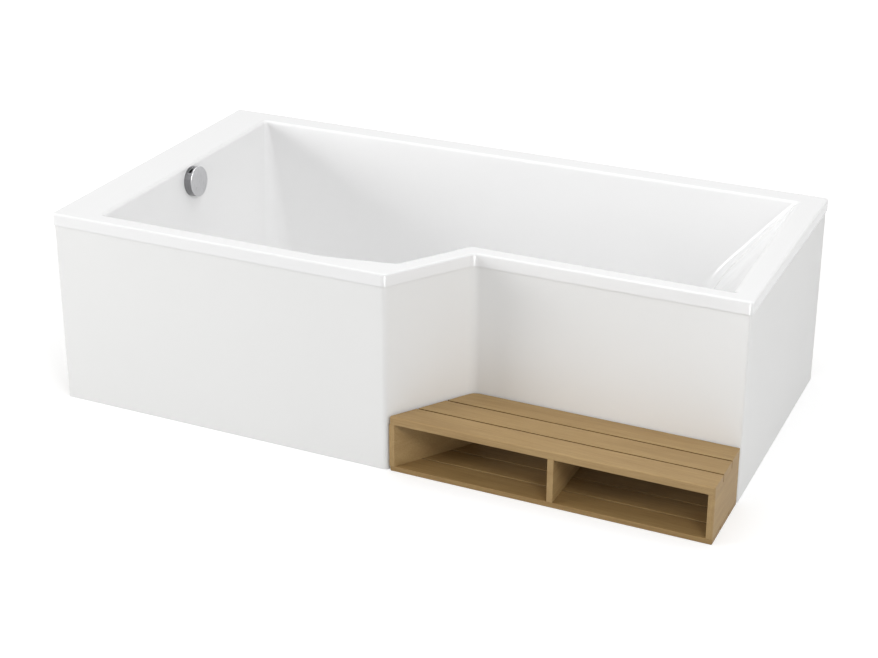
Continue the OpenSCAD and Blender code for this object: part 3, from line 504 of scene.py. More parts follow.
class Shader:
    """A material, with short ways to add its nodes."""

    def __init__(self, name):
        self.material = bpy.data.materials.new(name)
        self.material.use_nodes = True
        self.tree = self.material.node_tree
        self.main = self.tree.nodes["Principled BSDF"]
        self.place = self.add("ShaderNodeTexCoord", {})["Object"]

    def add(self, kind, inputs, **settings):
        """Adds a node and gives its outputs."""
        return add_node(self.tree, kind, inputs, **settings).outputs

    def set(self, **values):
        for key, value in values.items():
            feed(self.tree, value, self.main.inputs[key.replace("_", " ")])

    def mapped(self, scale, shift=(0, 0, 0)):
        inputs = {"Vector": self.place, "Scale": scale, "Location": shift}
        return self.add("ShaderNodeMapping", inputs)["Vector"]

    def noise(self, vector, scale, detail, rough=0.5, distortion=0.0):
        inputs = {"Vector": vector, "Scale": scale, "Detail": detail, "Roughness": rough,
                  "Distortion": distortion}
        return self.add("ShaderNodeTexNoise", inputs)["Fac"]

    def cells(self, vector, scale):
        return self.add("ShaderNodeTexVoronoi", {"Vector": vector, "Scale": scale})

    def ramp(self, value, stops):
        node = add_node(self.tree, "ShaderNodeValToRGB", {"Fac": value})
        ends = node.color_ramp.elements
        while len(ends) < len(stops):
            ends.new(0.5)
        for end, (position, colour) in zip(ends, stops):
            end.position = position
            end.color = (*colour, 1)
        return node.outputs["Color"]

    def spread(self, value, low, high, start=0.0, stop=1.0):
        """The value's range from start to stop, spread over low to high."""
        inputs = {"Value": value, "From Min": start, "From Max": stop, "To Min": low, "To Max": high}
        return self.add("ShaderNodeMapRange", inputs)["Result"]

    def math(self, operation, a, b):
        return self.add("ShaderNodeMath", {0: a, 1: b}, operation=operation)["Value"]

    def mix(self, factor, a, b):
        inputs = {"Factor": factor, "A": a, "B": b}
        return self.add("ShaderNodeMix", inputs, data_type="RGBA")["Result"]

    def bump(self, height, strength, depth):
        inputs = {"Height": height, "Strength": strength, "Distance": depth}
        self.set(Normal=self.add("ShaderNodeBump", inputs)["Normal"])

    def colour(self, source):
        self.set(Base_Color=source)

    def rough(self, source):
        self.set(Roughness=source)

    def clouded(self, cloud, colour, shade, rough_low, rough_high):
        """A colour that a cloud darkens to a share of it, and a gloss that varies too."""
        self.colour(self.mix(cloud, tuple(c * shade for c in colour), colour))
        self.rough(self.spread(cloud, rough_low, rough_high))


def srgb(r, g, b):
    """A colour as its picture values from 0 to 255."""
    made = []
    for value in (r, g, b):
        v = value / 255
        made.append(v / 12.92 if v <= 0.04045 else ((v + 0.055) / 1.055) ** 2.4)
    return tuple(made)


def acrylic():
    """Cast acrylic: glossy and faintly rippled by the forming, with a slight cloud in its gloss."""
    s = Shader("white_acrylic")
    cloud = s.noise(s.place, scale=3, detail=3)
    s.colour(s.mix(cloud, srgb(235, 235, 235), srgb(238, 238, 238)))
    s.rough(s.spread(s.noise(s.place, scale=14, detail=5), 0.11, 0.17))
    s.bump(s.noise(s.place, scale=9, detail=2), strength=0.05, depth=0.001)
    s.set(IOR=1.49)
    return s.material


def panel_plastic():
    """The panels' sheet: a slightly greyer white, less glossy, with a fine grain."""
    s = Shader("panel_acrylic")
    cloud = s.noise(s.place, scale=2.2, detail=3)
    s.colour(s.mix(cloud, srgb(229, 229, 228), srgb(232, 232, 231)))
    s.rough(s.spread(s.noise(s.place, scale=20, detail=5), 0.4, 0.5))
    s.bump(s.noise(s.place, scale=900, detail=2), strength=0.04, depth=0.0002)
    s.set(IOR=1.42)
    return s.material


def resin():
    """The sprayed underside of the shell: chopped fibres under cream resin."""
    s = Shader("reinforced_resin")
    fibres = s.noise(s.place, scale=260, detail=6, rough=0.7, distortion=2.5)
    s.colour(s.mix(fibres, srgb(218, 214, 202), srgb(236, 234, 226)))
    s.rough(s.spread(fibres, 0.35, 0.65))
    lumps = s.noise(s.place, scale=150, detail=6, rough=0.7, distortion=1.5)
    s.bump(lumps, strength=0.6, depth=0.002)
    s.set(IOR=1.5)
    return s.material


def wood(name, seed, along, painted_shade):
    """Oiled oak with long fine fibres, faint wide bands and a few darker pores. All its tones are lowered by
    the given painted shade, for wood in a gap or under the top slats.
    """
    s = Shader(name)
    shift = (seed * 0.37, seed * 1.31, seed * 0.73)

    def drawn(shrink):
        return s.mapped((shrink, 1, 1) if along == "X" else (1, shrink, 1), shift)

    # Each tone lowered by the painted shade
    def tone(r, g, b):
        return srgb(r - painted_shade, g - painted_shade, b - painted_shade)

    bands = s.noise(drawn(0.06), scale=30, detail=3, distortion=1.2)
    fibres = s.noise(drawn(0.02), scale=620, detail=4, rough=0.65)
    pores = s.noise(drawn(0.05), scale=1500, detail=2)
    base = s.ramp(bands, [(0.25, tone(155, 127, 84)), (0.5, tone(164, 136, 92)), (0.75, tone(172, 145, 100))])
    fibre_share = s.spread(fibres, 0.0, 0.8, start=0.4, stop=0.75)
    pore_share = s.spread(pores, 0.0, 0.6, start=0.66, stop=0.78)
    s.colour(s.mix(pore_share, s.mix(fibre_share, base, tone(138, 109, 66)), srgb(100, 76, 44)))
    s.rough(s.spread(bands, 0.5, 0.64))
    relief = s.math("ADD", fibres, s.math("MULTIPLY", pores, -0.7))
    s.bump(relief, strength=0.2, depth=0.0004)
    s.set(IOR=1.45)
    return s.material


def timber(name, low, high):
    """Planed softwood, unfinished."""
    s = Shader(name)
    grain = s.noise(s.mapped((1.6, 1.6, 14)), scale=16, detail=5, rough=0.55, distortion=0.9)
    s.colour(s.ramp(grain, [(0.3, low), (0.55, high), (0.75, low)]))
    s.rough(s.spread(grain, 0.62, 0.8))
    s.bump(s.noise(s.mapped((8, 8, 60)), scale=40, detail=4), strength=0.25, depth=0.0005)
    return s.material


def chipboard():
    """Sealed chipboard with flakes of several tones."""
    s = Shader("sealed_board")
    flakes = s.cells(s.mapped((1, 1.6, 1)), scale=150)
    tones = [(0.1, srgb(158, 128, 88)), (0.5, srgb(188, 158, 114)), (0.9, srgb(206, 180, 138))]
    s.colour(s.ramp(flakes["Color"], tones))
    s.rough(s.spread(flakes["Distance"], 0.5, 0.8))
    s.bump(flakes["Distance"], strength=0.2, depth=0.0005)
    return s.material


def metal(name, colour, rough_low, rough_high, scale, stretch=(1, 1, 1), bump=0.05):
    """Plain metal, faintly clouded in its colour and gloss."""
    s = Shader(name)
    cloud = s.noise(s.mapped(stretch), scale, detail=4, rough=0.6)
    s.clouded(cloud, colour, 0.86, rough_low, rough_high)
    s.bump(cloud, strength=bump, depth=0.0002)
    s.set(Metallic=1.0)
    return s.material


def brushed_metal(name, low, high, rough):
    """Steel brushed in fine upright lines, which draw its highlights out sideways."""
    s = Shader(name)
    streaks = s.noise(s.mapped((1, 1, 0.03)), scale=700, detail=4, rough=0.6)
    s.colour(s.mix(streaks, srgb(low, low, low + 2), srgb(high, high, high + 2)))
    s.rough(s.spread(streaks, rough, rough + 0.1))
    s.bump(streaks, strength=0.12, depth=0.0001)
    tangent = s.add("ShaderNodeTangent", {}, direction_type="RADIAL", axis="Z")["Tangent"]
    s.set(Metallic=1.0, Anisotropic=0.7, Tangent=tangent)
    return s.material


def galvanised():
    """Zinc with its crystal pattern."""
    s = Shader("zinc_steel")
    crystals = s.cells(s.place, scale=120)
    s.colour(s.ramp(crystals["Color"], [(0.2, srgb(150, 153, 156)), (0.8, srgb(196, 199, 202))]))
    s.rough(s.spread(crystals["Color"], 0.3, 0.5))
    s.bump(crystals["Distance"], strength=0.08, depth=0.0002)
    s.set(Metallic=1.0)
    return s.material


def plastic(name, colour, rough_low, rough_high):
    """Moulded plastic or rubber, faintly clouded, with a fine grain."""
    s = Shader(name)
    cloud = s.noise(s.place, scale=12, detail=4)
    s.clouded(cloud, colour, 0.93, rough_low, rough_high)
    s.bump(s.noise(s.place, scale=500, detail=3), strength=0.1, depth=0.0002)
    s.set(IOR=1.46)
    return s.material


ACRYLIC = acrylic()
PANEL = panel_plastic()
RESIN = resin()
TIMBER = timber("frame_timber", srgb(206, 174, 126), srgb(222, 196, 152))
BOARD = chipboard()
ZINC = galvanised()
STEEL = metal("satin_steel", srgb(186, 187, 190), 0.24, 0.38, scale=60, stretch=(1, 1, 0.2))
CHROME = metal("chrome_trim", srgb(214, 215, 217), 0.05, 0.12, scale=30, bump=0.02)
KNOB_FACE = brushed_metal("brushed_knob", low=190, high=230, rough=0.24)
# A darker copy of the same brushed steel for the knob's side: painted shade on the side
KNOB_SIDE_PAINTED_SHADE = brushed_metal("brushed_knob_side_painted_shade", low=122, high=158, rough=0.2)
RUBBER = plastic("black_rubber", srgb(44, 44, 46), 0.6, 0.8)
WHITE = plastic("white_plastic", srgb(226, 226, 222), 0.3, 0.45)
GREY = plastic("grey_plastic", srgb(150, 153, 156), 0.32, 0.48)
BLACK = plastic("black_plastic", srgb(40, 41, 43), 0.35, 0.5)
# Much darker wood for the slat sides that face the gaps: painted shade in the gaps between the top slats
GAP_SHADE_WOOD = wood("wood_gap_painted_shade", seed=31, along="X", painted_shade=60)
DOWEL = timber("dowel_wood", srgb(190, 160, 116), srgb(210, 182, 138))


# Tub
def tub_drops(roll_steps, toe_steps, pitch):
    """Depths of the basin's rings, which are closer together at the roll and at the toe."""
    drops = [ROLL_DEPTH * (1 - cos(pi / 2 * k / roll_steps)) for k in range(roll_steps + 1)]
    toe_top = DEPTH - TOE_R * (1 - cos(radians(TOE_TURN)))
    rows = round((toe_top - ROLL_DEPTH) / pitch)
    drops += [ROLL_DEPTH + (toe_top - ROLL_DEPTH) * k / rows for k in range(1, rows)]
    for k in range(toe_steps + 1):
        turned = radians(TOE_TURN * (1 - k / toe_steps))
        drops.append(DEPTH - TOE_R * (1 - cos(turned)))
    return drops


def rim_rings():
    """From the rim's top round its edge, down the lip, round its foot and up inside it."""
    lip_round = 1
    lip_cut = 0.3
    lip_inner = 0.5
    lip_z = RIM_H - LIP_H
    deck_z = RIM_H - SHELL_T
    rings = []
    for k in range(EDGE_STEPS + 1):
        w = pi / 2 * k / EDGE_STEPS
        rings.append(at_height(outer_ring(EDGE_R * (1 - sin(w))), RIM_H - EDGE_R * (1 - cos(w))))
    foot = ((0, lip_z + lip_round), (lip_cut, lip_z + lip_cut), (lip_round, lip_z),
            (LIP_T - lip_inner, lip_z), (LIP_T, lip_z + lip_inner), (LIP_T, deck_z))
    return rings + [at_height(outer_ring(inset), z) for inset, z in foot]


def make_tub():
    """From the basin's floor up the walls, over the rim, round the lip and back underneath."""
    drops = reversed(tub_drops(ROLL_STEPS, TOE_STEPS, WALL_PITCH))
    shown = [at_height(basin_ring(drop, 0), RIM_H - drop) for drop in drops] + rim_rings()
    under_drops = tub_drops(roll_steps=4, toe_steps=6, pitch=60)
    under = [at_height(basin_ring(drop, SHELL_T), RIM_H - SHELL_T - drop) for drop in under_drops]
    tub = loft("tub", shown + under)
    at_floor = Matrix.Translation((DRAIN_X, WASTE_Y, FLOOR_H))
    for name, reach, place in (("drain_cutter", 40, at_floor), ("overflow_cutter", 20, AT_OVERFLOW)):
        cut(tub, lathe(name, tube(0, WASTE_HOLE_R, -reach, reach), turns=64, place=place))
    paint(tub, ACRYLIC, RESIN)
    colour_underside(tub, under)
    wear(smooth(tub, 40), "bath", "white_acrylic", "tub_shell")


def colour_underside(tub, under):
    """Faces with three points or more in the rings of the underside get the resin."""
    decimals = 6
    resin_points = {tuple(round(c * MM, decimals) for c in p) for ring in under for p in ring}
    for face in tub.data.polygons:
        points = [tuple(round(c, decimals) for c in tub.data.vertices[i].co) for i in face.vertices]
        face.material_index = 1 if sum(p in resin_points for p in points) >= 3 else 0


# Panels
def wear_panel(name, outline, node):
    sheet = smooth(bevel(prism(name, outline, 0, PANEL_TOP), 0.5))
    wear(sheet, "bath", "white_acrylic", node, PANEL)


def make_front_panel():
    """One sheet along the wide front, the return and the narrow front."""
    back_inset = PANEL_FACE + PANEL_T
    face = moved(OUTER, [PANEL_FACE] * len(OUTER))
    inside = moved(OUTER, [back_inset] * len(OUTER))
    end_x = RIGHT - back_inset
    notch_r, end_r = OUTER_R[1], OUTER_R[2]
    outline = corner_arc(Vector((LEFT + PANEL_FACE, inside[0].y)), face[0], face[1], PANEL_T, EDGE_STEPS)
    outline += corner_arc(*face[0:3], notch_r - PANEL_FACE, PANEL_ARC_STEPS)
    outline += corner_arc(*face[1:4], end_r + PANEL_FACE, PANEL_ARC_STEPS)
    outline += [Vector((end_x, face[3].y)), Vector((end_x, inside[3].y))]
    outline += reversed(corner_arc(*inside[1:4], end_r + back_inset, PANEL_ARC_STEPS))
    outline += reversed(corner_arc(*inside[0:3], notch_r - back_inset, PANEL_ARC_STEPS))
    outline.append(inside[0])
    wear_panel("front_panel_sheet", outline, "front_panel")


def make_end_panel():
    inner = RIGHT - PANEL_FACE - PANEL_T
    face = moved(OUTER, [PANEL_FACE] * len(OUTER))
    outline = corner_arc(Vector((inner, face[3].y)), face[3], face[4], PANEL_T, EDGE_STEPS)
    outline += corner_arc(face[3], face[4], Vector((inner, face[4].y)), PANEL_T, EDGE_STEPS)
    wear_panel("end_panel_sheet", outline, "end_panel")


# Overflow knob
def make_knob():
    """A brushed cup with a slot in its side and a hub inside."""
    wall = 3
    face_t = 4
    seat = 0.3
    edge = 1.4
    edge_flat = 1.2
    edge_steps = 6
    rim_edge = 0.6
    hub_r = 8
    bore_r = 4
    hub_low = 2.8
    inner_z = KNOB_L - face_t
    profile = [(0, KNOB_L), (KNOB_R - edge - edge_flat, KNOB_L)]
    for k in range(edge_steps + 1):
        w = radians(90 - 90 * k / edge_steps)
        profile.append((KNOB_R - edge + edge * cos(w), KNOB_L - edge + edge * sin(w)))
    profile += [(KNOB_R, seat + rim_edge), (KNOB_R - rim_edge, seat), (KNOB_R - wall, seat),
                (KNOB_R - wall, inner_z), (hub_r, inner_z), (hub_r, hub_low), (bore_r, hub_low),
                (bore_r, inner_z), (0, inner_z)]
    knob = paint(lathe("knob_cup", profile, turns=120, place=AT_OVERFLOW), KNOB_FACE, KNOB_SIDE_PAINTED_SHADE)
    axis = AT_OVERFLOW.to_3x3() @ Vector((0, 0, 1))
    # Faces on the knob's round side get the darker copy, as painted shade
    for face in knob.data.polygons:
        arm = face.center - AT_OVERFLOW.translation * MM
        away = (arm - axis * arm.dot(axis)).length
        side = away > (KNOB_R - edge) * MM and abs(face.normal.dot(axis)) < 0.1
        face.material_index = 1 if side else 0
    cut(knob, slot_cutter(KNOB_R - wall - 3, KNOB_R + 6, low=4, high=inner_z - 1))
    wear(smooth(knob, 30), "knob", "satin_steel", "overflow_knob")


def slot_cutter(inner, outer, low, high):
    """A sector round the knob's axis, at its upper side."""
    half = 40
    step = 5
    sector = []
    for r, angles in ((inner, range(-half, half + 1, step)), (outer, range(half, -half - 1, -step))):
        sector += [(-r * cos(radians(a)), r * sin(radians(a))) for a in angles]
    rings = [[AT_OVERFLOW @ Vector((x, y, z)) for x, y in sector] for z in (low, high)]
    return loft("slot_cutter", rings)


# Overflow plate, waste ring, plug and rubber rings
def spoked(name, node, profile, low, high, place):
    """A chrome ring with three spokes and a hub that guides the shaft."""
    sunk_in_hub = 1
    sunk_in_ring = 0.5
    hub = tube(SHAFT_R + PLAY, HUB_R, low, high)
    parts = [lathe(name + "_ring", profile, ROUND_TURNS, place), lathe(name + "_hub", hub, 48, place)]
    inner, outer, half = HUB_R - sunk_in_hub, THROAT_BORE_R + sunk_in_ring, SPOKE_W / 2
    outline = [(inner, -half), (outer, -half), (outer, half), (inner, half)]
    for angle in (30, 150, 270):
        at = place @ Matrix.Rotation(radians(angle), 4, "Z")
        rings = [[at @ Vector((x, y, z)) for x, y in outline] for z in (low, high)]
        parts.append(loft(name + "_spoke", rings))
    made = smooth(bevel(joined(name, parts), 0.4))
    wear(made, "bath", "chrome_trim", node, CHROME)


def make_overflow_plate():
    spigot_l = 6
    spigot_end = -CHAMBER_FRONT - spigot_l
    profile = [(THROAT_BORE_R, spigot_end), (THROAT_R, spigot_end), (THROAT_R, PLAY), (PLATE_R, PLAY),
               (PLATE_R, PLATE_H - TRIM_BEVEL), (PLATE_R - TRIM_BEVEL, PLATE_H), (THROAT_BORE_R, PLATE_H)]
    spoked("overflow_trim", "overflow_plate", profile, PLATE_H - GUIDE_H, PLATE_H - HUB_SUNK, AT_OVERFLOW)


def make_waste_ring():
    low = BODY_TOP - GUIDE_H
    mouth_r = THROAT_R - 0.8
    profile = [(THROAT_BORE_R, low), (THROAT_R, low), (THROAT_R, FLOOR_H), (TRIM_FLANGE_R, FLOOR_H),
               (TRIM_FLANGE_R, FLANGE_TOP - TRIM_BEVEL), (TRIM_FLANGE_R - TRIM_BEVEL, FLANGE_TOP),
               (mouth_r, FLANGE_TOP), (mouth_r, THROAT_TOP), (THROAT_BORE_R, THROAT_TOP)]
    spoked("waste_ring", "waste_flange", profile, low + HUB_SUNK, BODY_TOP, AT_DRAIN)


def make_plug():
    """A domed cap with a socket for the stem."""
    socket = 3
    edge = 1.5
    dome = 5.8
    dome_steps = 24
    turns = [pi / 2 * k / dome_steps for k in range(dome_steps)]
    cap = [(0, socket), (SHAFT_R, socket), (SHAFT_R, 0), (PLUG_R - edge, 0)]
    cap += [(PLUG_R * cos(w), edge + dome * sin(w)) for w in turns] + [(0, edge + dome)]
    made = smooth(lathe("plug_top", cap, ROUND_TURNS, Matrix.Translation((DRAIN_X, WASTE_Y, CAP_Z))))
    wear(made, "plug", "chrome_trim", "plug_cap", CHROME)


def make_rubber_rings():
    """The plug's seal, and the gaskets behind the overflow and under the waste."""
    seal_low = THROAT_TOP + 0.3
    seal = tube(SHAFT_R, SEAL_R, seal_low, CAP_Z)
    behind = tube(WASTE_HOLE_R, OVERFLOW_GASKET_R, -CHAMBER_FRONT, -SHELL_T)
    under = tube(WASTE_HOLE_R, TRIM_FLANGE_R, BODY_TOP, FLOOR_H - SHELL_T)
    for name, node, body, profile, place, width in (
            ("seal_ring", "plug_seal", "plug", seal, AT_DRAIN, 0.4),
            ("overflow_rubber", "overflow_gasket", "bath", behind, AT_OVERFLOW, 0.8),
            ("waste_rubber", "waste_gasket", "bath", under, AT_DRAIN, 0.8)):
        made = smooth(bevel(lathe(name, profile, ROUND_TURNS, place), width))
        wear(made, body, "black_rubber", node, RUBBER)


# Hose, cable and their collars
def route(z_top, z_low, bend, x_end, y, pitch):
    """Points down from z_top, round a bend and along +X at z_low, each with the way across."""
    fall = z_top - z_low - bend
    turn = bend * pi / 2
    length = fall + turn + x_end - CHAMBER_X - bend
    count = round(length / pitch)
    made = []
    for k in range(count + 1):
        s = length * k / count
        a = min(pi / 2, max(0, (s - fall) / bend))
        if s < fall:
            point = Vector((CHAMBER_X, y, z_top - s))
        elif s < fall + turn:
            point = Vector((CHAMBER_X + bend * (1 - cos(a)), y, z_low + bend * (1 - sin(a))))
        else:
            point = Vector((CHAMBER_X + bend + s - fall - turn, y, z_low))
        made.append((point, Vector((cos(a), 0, sin(a)))))
    return made


def make_hose():
    """A hose with ribs between its plain ends, and its bore."""
    per_rib = 6
    plain = 5 * per_rib
    middle = (HOSE_ROOT_R + HOSE_CREST_R) / 2
    rib = [HOSE_ROOT_R, HOSE_ROOT_R, middle, HOSE_CREST_R, HOSE_CREST_R, middle]
    way = (HOSE_TOP, HOSE_Z, HOSE_BEND, HOSE_END_X, WASTE_Y)
    outside = route(*way, RIB_PITCH / per_rib)
    inside = route(*way, 2 * RIB_PITCH)
    radii = []
    for k in range(len(outside)):
        ribbed = plain < k < len(outside) - plain
        radii.append(rib[k % per_rib] if ribbed else HOSE_ROOT_R)
    radii += [HOSE_BORE_R] * len(inside)
    hose = sweep("ribbed_hose", outside + inside[::-1], radii, sides=28, closed=True)
    wear(smooth(hose, 60), "bath", "grey_plastic", "overflow_hose", GREY)


def make_collars():
    outer = HOSE_CREST_R + 0.8
    start = 4
    length = 12
    at_overflow = Matrix.Translation((CHAMBER_X, WASTE_Y, HOSE_TOP))
    at_waste = Matrix.Translation((HOSE_END_X, WASTE_Y, HOSE_Z)) @ Matrix.Rotation(pi / 2, 4, "Y")
    collars = [grip_ring("collar", place, outer, HOSE_ROOT_R + PLAY, -start - length, -start, 24, 0.6)
               for place in (at_overflow, at_waste)]
    made = smooth(bevel(joined("hose_rings", collars), 0.3))
    wear(made, "bath", "grey_plastic", "hose_collars", GREY)


def make_cable():
    cable_y = WASTE_Y + CABLE_ASIDE
    cable = route(HOSE_TOP - CABLE_DROP, CABLE_Z, CABLE_BEND, DRAIN_X - CABLE_PORT, cable_y, pitch=6)
    sheath = sweep("cable_sheath", cable, [CABLE_R] * len(cable), sides=20)
    wear(smooth(sheath, 50), "bath", "black_plastic", "control_cable", BLACK)


def grip_ring(name, place, outer, inner, low, high, grips, depth):
    """A ring with grips along its outside."""
    per_grip = 8
    rings = []
    for z, bore in ((low, True), (low, False), (high, False), (high, True)):
        ring = []
        for k in range(grips * per_grip):
            w = 2 * pi * k / (grips * per_grip)
            r = inner if bore else outer - (depth if k % per_grip >= per_grip / 2 else 0)
            ring.append(place @ polar(r, w, z))
        rings.append(ring)
    return loft(name, rings, closed=True)


def make_slip_nuts():
    """The nut over the trap and the one on the outlet, which starts a little way behind the trap."""
    nut_start = Vector((DRAIN_X, WASTE_Y + 58, 25))
    at_outlet = Matrix.Translation(nut_start) @ Matrix.Rotation(-pi / 2, 4, "X")
    trap = grip_ring("trap_nut", AT_DRAIN, 32, 21.05, low=48, high=56, grips=12, depth=2.2)
    outlet = grip_ring("outlet_nut", at_outlet, 24, 20.05, low=0, high=10, grips=12, depth=1.6)
    made = smooth(bevel(joined("grip_nuts", [trap, outlet]), 0.5))
    wear(made, "bath", "white_plastic", "slip_nuts", WHITE)


# Cradle: threaded rods, feet, nuts and screws
def threaded_rod(name, x, y, low, high):
    """A core with chamfered ends and a helical ridge round it."""
    steps = 20
    chamfer = 0.6
    root_sunk = 0.2
    thinnest = 0.02
    flank = THREAD_PITCH * 0.44
    flat = THREAD_PITCH * 0.08
    core = ROD_R - THREAD_DEPTH
    place = Matrix.Translation((x, y, 0))
    profile = [(0, low), (core - chamfer, low), (core, low + chamfer), (core, high - chamfer),
               (core - chamfer, high), (0, high)]
    body = lathe("core", profile, turns=40, place=place)
    count = int((high - low - 2 * THREAD_PITCH) / THREAD_PITCH * steps)
    root = core - root_sunk
    rings = []
    for k in range(count + 1):
        w = 2 * pi * k / steps
        z = low + THREAD_PITCH + THREAD_PITCH * k / steps
        taper = min(1, k / steps, (count - k) / steps)
        crest = core + max(thinnest, THREAD_DEPTH * taper)
        section = ((root, z - flank), (crest, z - flat), (crest, z + flat), (root, z + flank))
        rings.append([place @ polar(r, w, h) for r, h in section])
    return joined(name, [body, loft("ridge", rings)])


def hex_nut(name, x, y, low):
    """A nut whose six corners are chamfered as a turned one's are."""
    per_side = 8
    sides = 6
    flat_r = NUT_R * cos(pi / sides)
    rim = flat_r * 1.02
    slope = tan(radians(30))
    rings = []
    top = low + NUT_T
    for z, part in ((low, "bore"), (low, "rim"), (low, "side"), (top, "side"), (top, "rim"), (top, "bore")):
        ring = []
        for k in range(sides * per_side):
            w = 2 * pi * k / (sides * per_side)
            from_middle = (w % (pi / 3)) - pi / 6
            side = flat_r / cos(from_middle)
            r = {"bore": ROD_R + PLAY, "rim": min(rim, side), "side": side}[part]
            drop = max(0, side - rim) * slope if part == "side" else 0
            ring.append((x + r * cos(w), y + r * sin(w), z + (drop if z == low else -drop)))
        rings.append(ring)
    return loft(name, rings, closed=True)


def make_feet():
    """Five threaded rods in plastic feet, and the nuts above and below the bars."""
    neck_r = 9
    bore = ROD_R + PLAY
    pad = [(0, 0), (PAD_R - 1, 0), (PAD_R, 1), (PAD_R, 3.4), (PAD_R - 0.6, 4.2), (PAD_R - 3, 4.9),
           (neck_r + 1.2, 9.2), (neck_r, 10.6), (neck_r, PAD_H - 0.8), (neck_r - 0.8, PAD_H),
           (bore, PAD_H), (bore, PAD_SOCKET), (0, PAD_SOCKET)]
    for k, (x, y) in enumerate(BAR_FEET + [CENTRE_FOOT]):
        top = CENTRE_ROD_TOP if k == len(BAR_FEET) else ROD_TOP
        rod = smooth(threaded_rod(f"thread_{k + 1}", x, y, PAD_SOCKET, top), 40)
        body = f"foot_{k + 1}"
        wear(rod, body, "zinc_steel", f"leg_rod_{k + 1}", STEEL)
        foot = smooth(lathe(body + "_pad", pad, turns=64, place=Matrix.Translation((x, y, 0))), 25)
        wear(foot, body, "black_plastic", f"foot_pad_{k + 1}", BLACK)
    nuts = [hex_nut("nut", x, y, z) for x, y in BAR_FEET for z in (BOARD_Z, BOARD_Z - BAR_T - NUT_T)]
    wear(smooth(joined("hex_nuts", nuts), 25), "bath", "zinc_steel", "leg_nuts", ZINC)


def make_screws():
    """Four pan-head screws in each bar and four in the middle foot's plate."""
    inset = 125
    reach = 29
    per_row = 4
    places = []
    for x, y_low in ((BAR_WIDE_X, FOOT_FRONT), (BAR_NARROW_X, FOOT_NARROW)):
        for k in range(per_row):
            y = y_low + inset + (FOOT_BACK - y_low - 2 * inset) * k / (per_row - 1)
            places.append((x, y, BOARD_Z - BAR_T))
    x, y = CENTRE_FOOT
    places += [(x + u * reach, y + v * reach, BOARD_Z - PLATE_T) for u in (-1, 1) for v in (-1, 1)]
    head_r = 2 * SCREW_R
    face = -SCREW_HEAD_H
    recess = [(0, face + 1.2), (1.1, face + 0.9), (1.3, face)]
    head = [(head_r - 1.2, face), (head_r - 0.4, face + 0.5), (head_r, face + 1.3), (head_r, 0)]
    shank = [(SCREW_R, 0), (SCREW_R, SCREW_L), (0, SCREW_L)]
    screws = [lathe("screw", recess + head + shank, turns=24, place=Matrix.Translation(place))
              for place in places]
    wear(smooth(joined("pan_screws", screws), 30), "bath", "zinc_steel", "cradle_screws", ZINC)


# The slatted step
STEP_FRONT = FRONT + STEP_SET_BACK
STEP_BACK = NARROW_FRONT
STEP_RIGHT = RIGHT - STEP_SET_BACK
STEP_LINE = NOTCH - RETURN_IN * STEP_GAP
SLAT_W = (STEP_BACK - STEP_FRONT - (SLATS - 1) * SLAT_GAP) / SLATS
SLANT_ACROSS = SLANT_BOARD_W / RETURN_DIR.y
DIVIDER_X = STEP_RIGHT - BOARD_W - RIGHT_ROOM - BOARD_W


def slant_x(y):
    """Where the step's slanted side lies at a distance from the front."""
    return crossing(STEP_LINE, RETURN_DIR, Vector((0, y)), ACROSS).x


FRONT_LEFT = slant_x(STEP_FRONT)
BACK_LEFT = slant_x(STEP_BACK)
STEP_CORNERS = [(FRONT_LEFT, STEP_FRONT), (STEP_RIGHT, STEP_FRONT), (STEP_RIGHT, STEP_BACK)]
BACK_CORNER = Vector((BACK_LEFT, STEP_BACK))


def back_rounded(outline):
    """The outline with an arc in place of the step's back left corner."""
    near = 0.01
    made = []
    for before, here, after in corners([Vector(p) for p in outline]):
        if (here - BACK_CORNER).length < near:
            made += corner_arc(before, here, after, BACK_CORNER_R, EDGE_STEPS)
        else:
            made.append(here)
    return made


def weigh_edges(made, high, front_r, edge, widest):
    """Gives every sharp edge of a board its own bevel, as a share of the widest."""
    shape = bmesh.new()
    shape.from_mesh(made.data)
    sharp = [e.calc_face_angle(0.0) > radians(30) for e in shape.edges]
    shape.free()
    top, front_y = high * MM, STEP_FRONT * MM
    rounder = [Vector((x * MM, y * MM)) for x, y in STEP_CORNERS]
    weights = made.data.attributes.new("bevel_weight_edge", "FLOAT", "EDGE")
    for e in made.data.edges:
        a, b = (made.data.vertices[i].co for i in e.vertices)
        upright = (a.xy - b.xy).length < SAME_PLACE
        outer = upright and any((a.xy - corner).length < SAME_PLACE for corner in rounder)
        top_front = all(abs(p.z - top) < SAME_PLACE and abs(p.y - front_y) < SAME_PLACE for p in (a, b))
        radius = CORNER_R if outer else front_r if top_front and front_r else edge
        weights.data[e.index].value = radius / widest if sharp[e.index] else 0.0


def board(name, node, outline, low, high, along, seed, painted_shade=0, edge=1.0, front_r=0.0, gap_sides_painted_shade=False):
    """A board with softened edges, rounder at the step's outer corners and along a slat's top front. Its wood
    can be darker as painted shade, all over or on the sides that face a gap.
    """
    made = prism(name, back_rounded(outline), low, high)
    widest = max(front_r, CORNER_R)
    weigh_edges(made, high, front_r, edge, widest)
    paint(made, wood(name + "_wood", seed, along, painted_shade))
    # Sides that face a gap between slats get the darker wood, as painted shade in the gap
    if gap_sides_painted_shade:
        paint(made, GAP_SHADE_WOOD)
        for face in made.data.polygons:
            gap_face_painted_shade = abs(face.normal.y) > 0.9 and abs(face.center.y - STEP_FRONT * MM) > SAME_PLACE
            face.material_index = 1 if gap_face_painted_shade else 0
    rounding = bevel(made, widest, segments=4).modifiers["bevel"]
    rounding.limit_method = "WEIGHT"
    rounding.material = 0
    wear(smooth(made), "step", "step_wood", node)


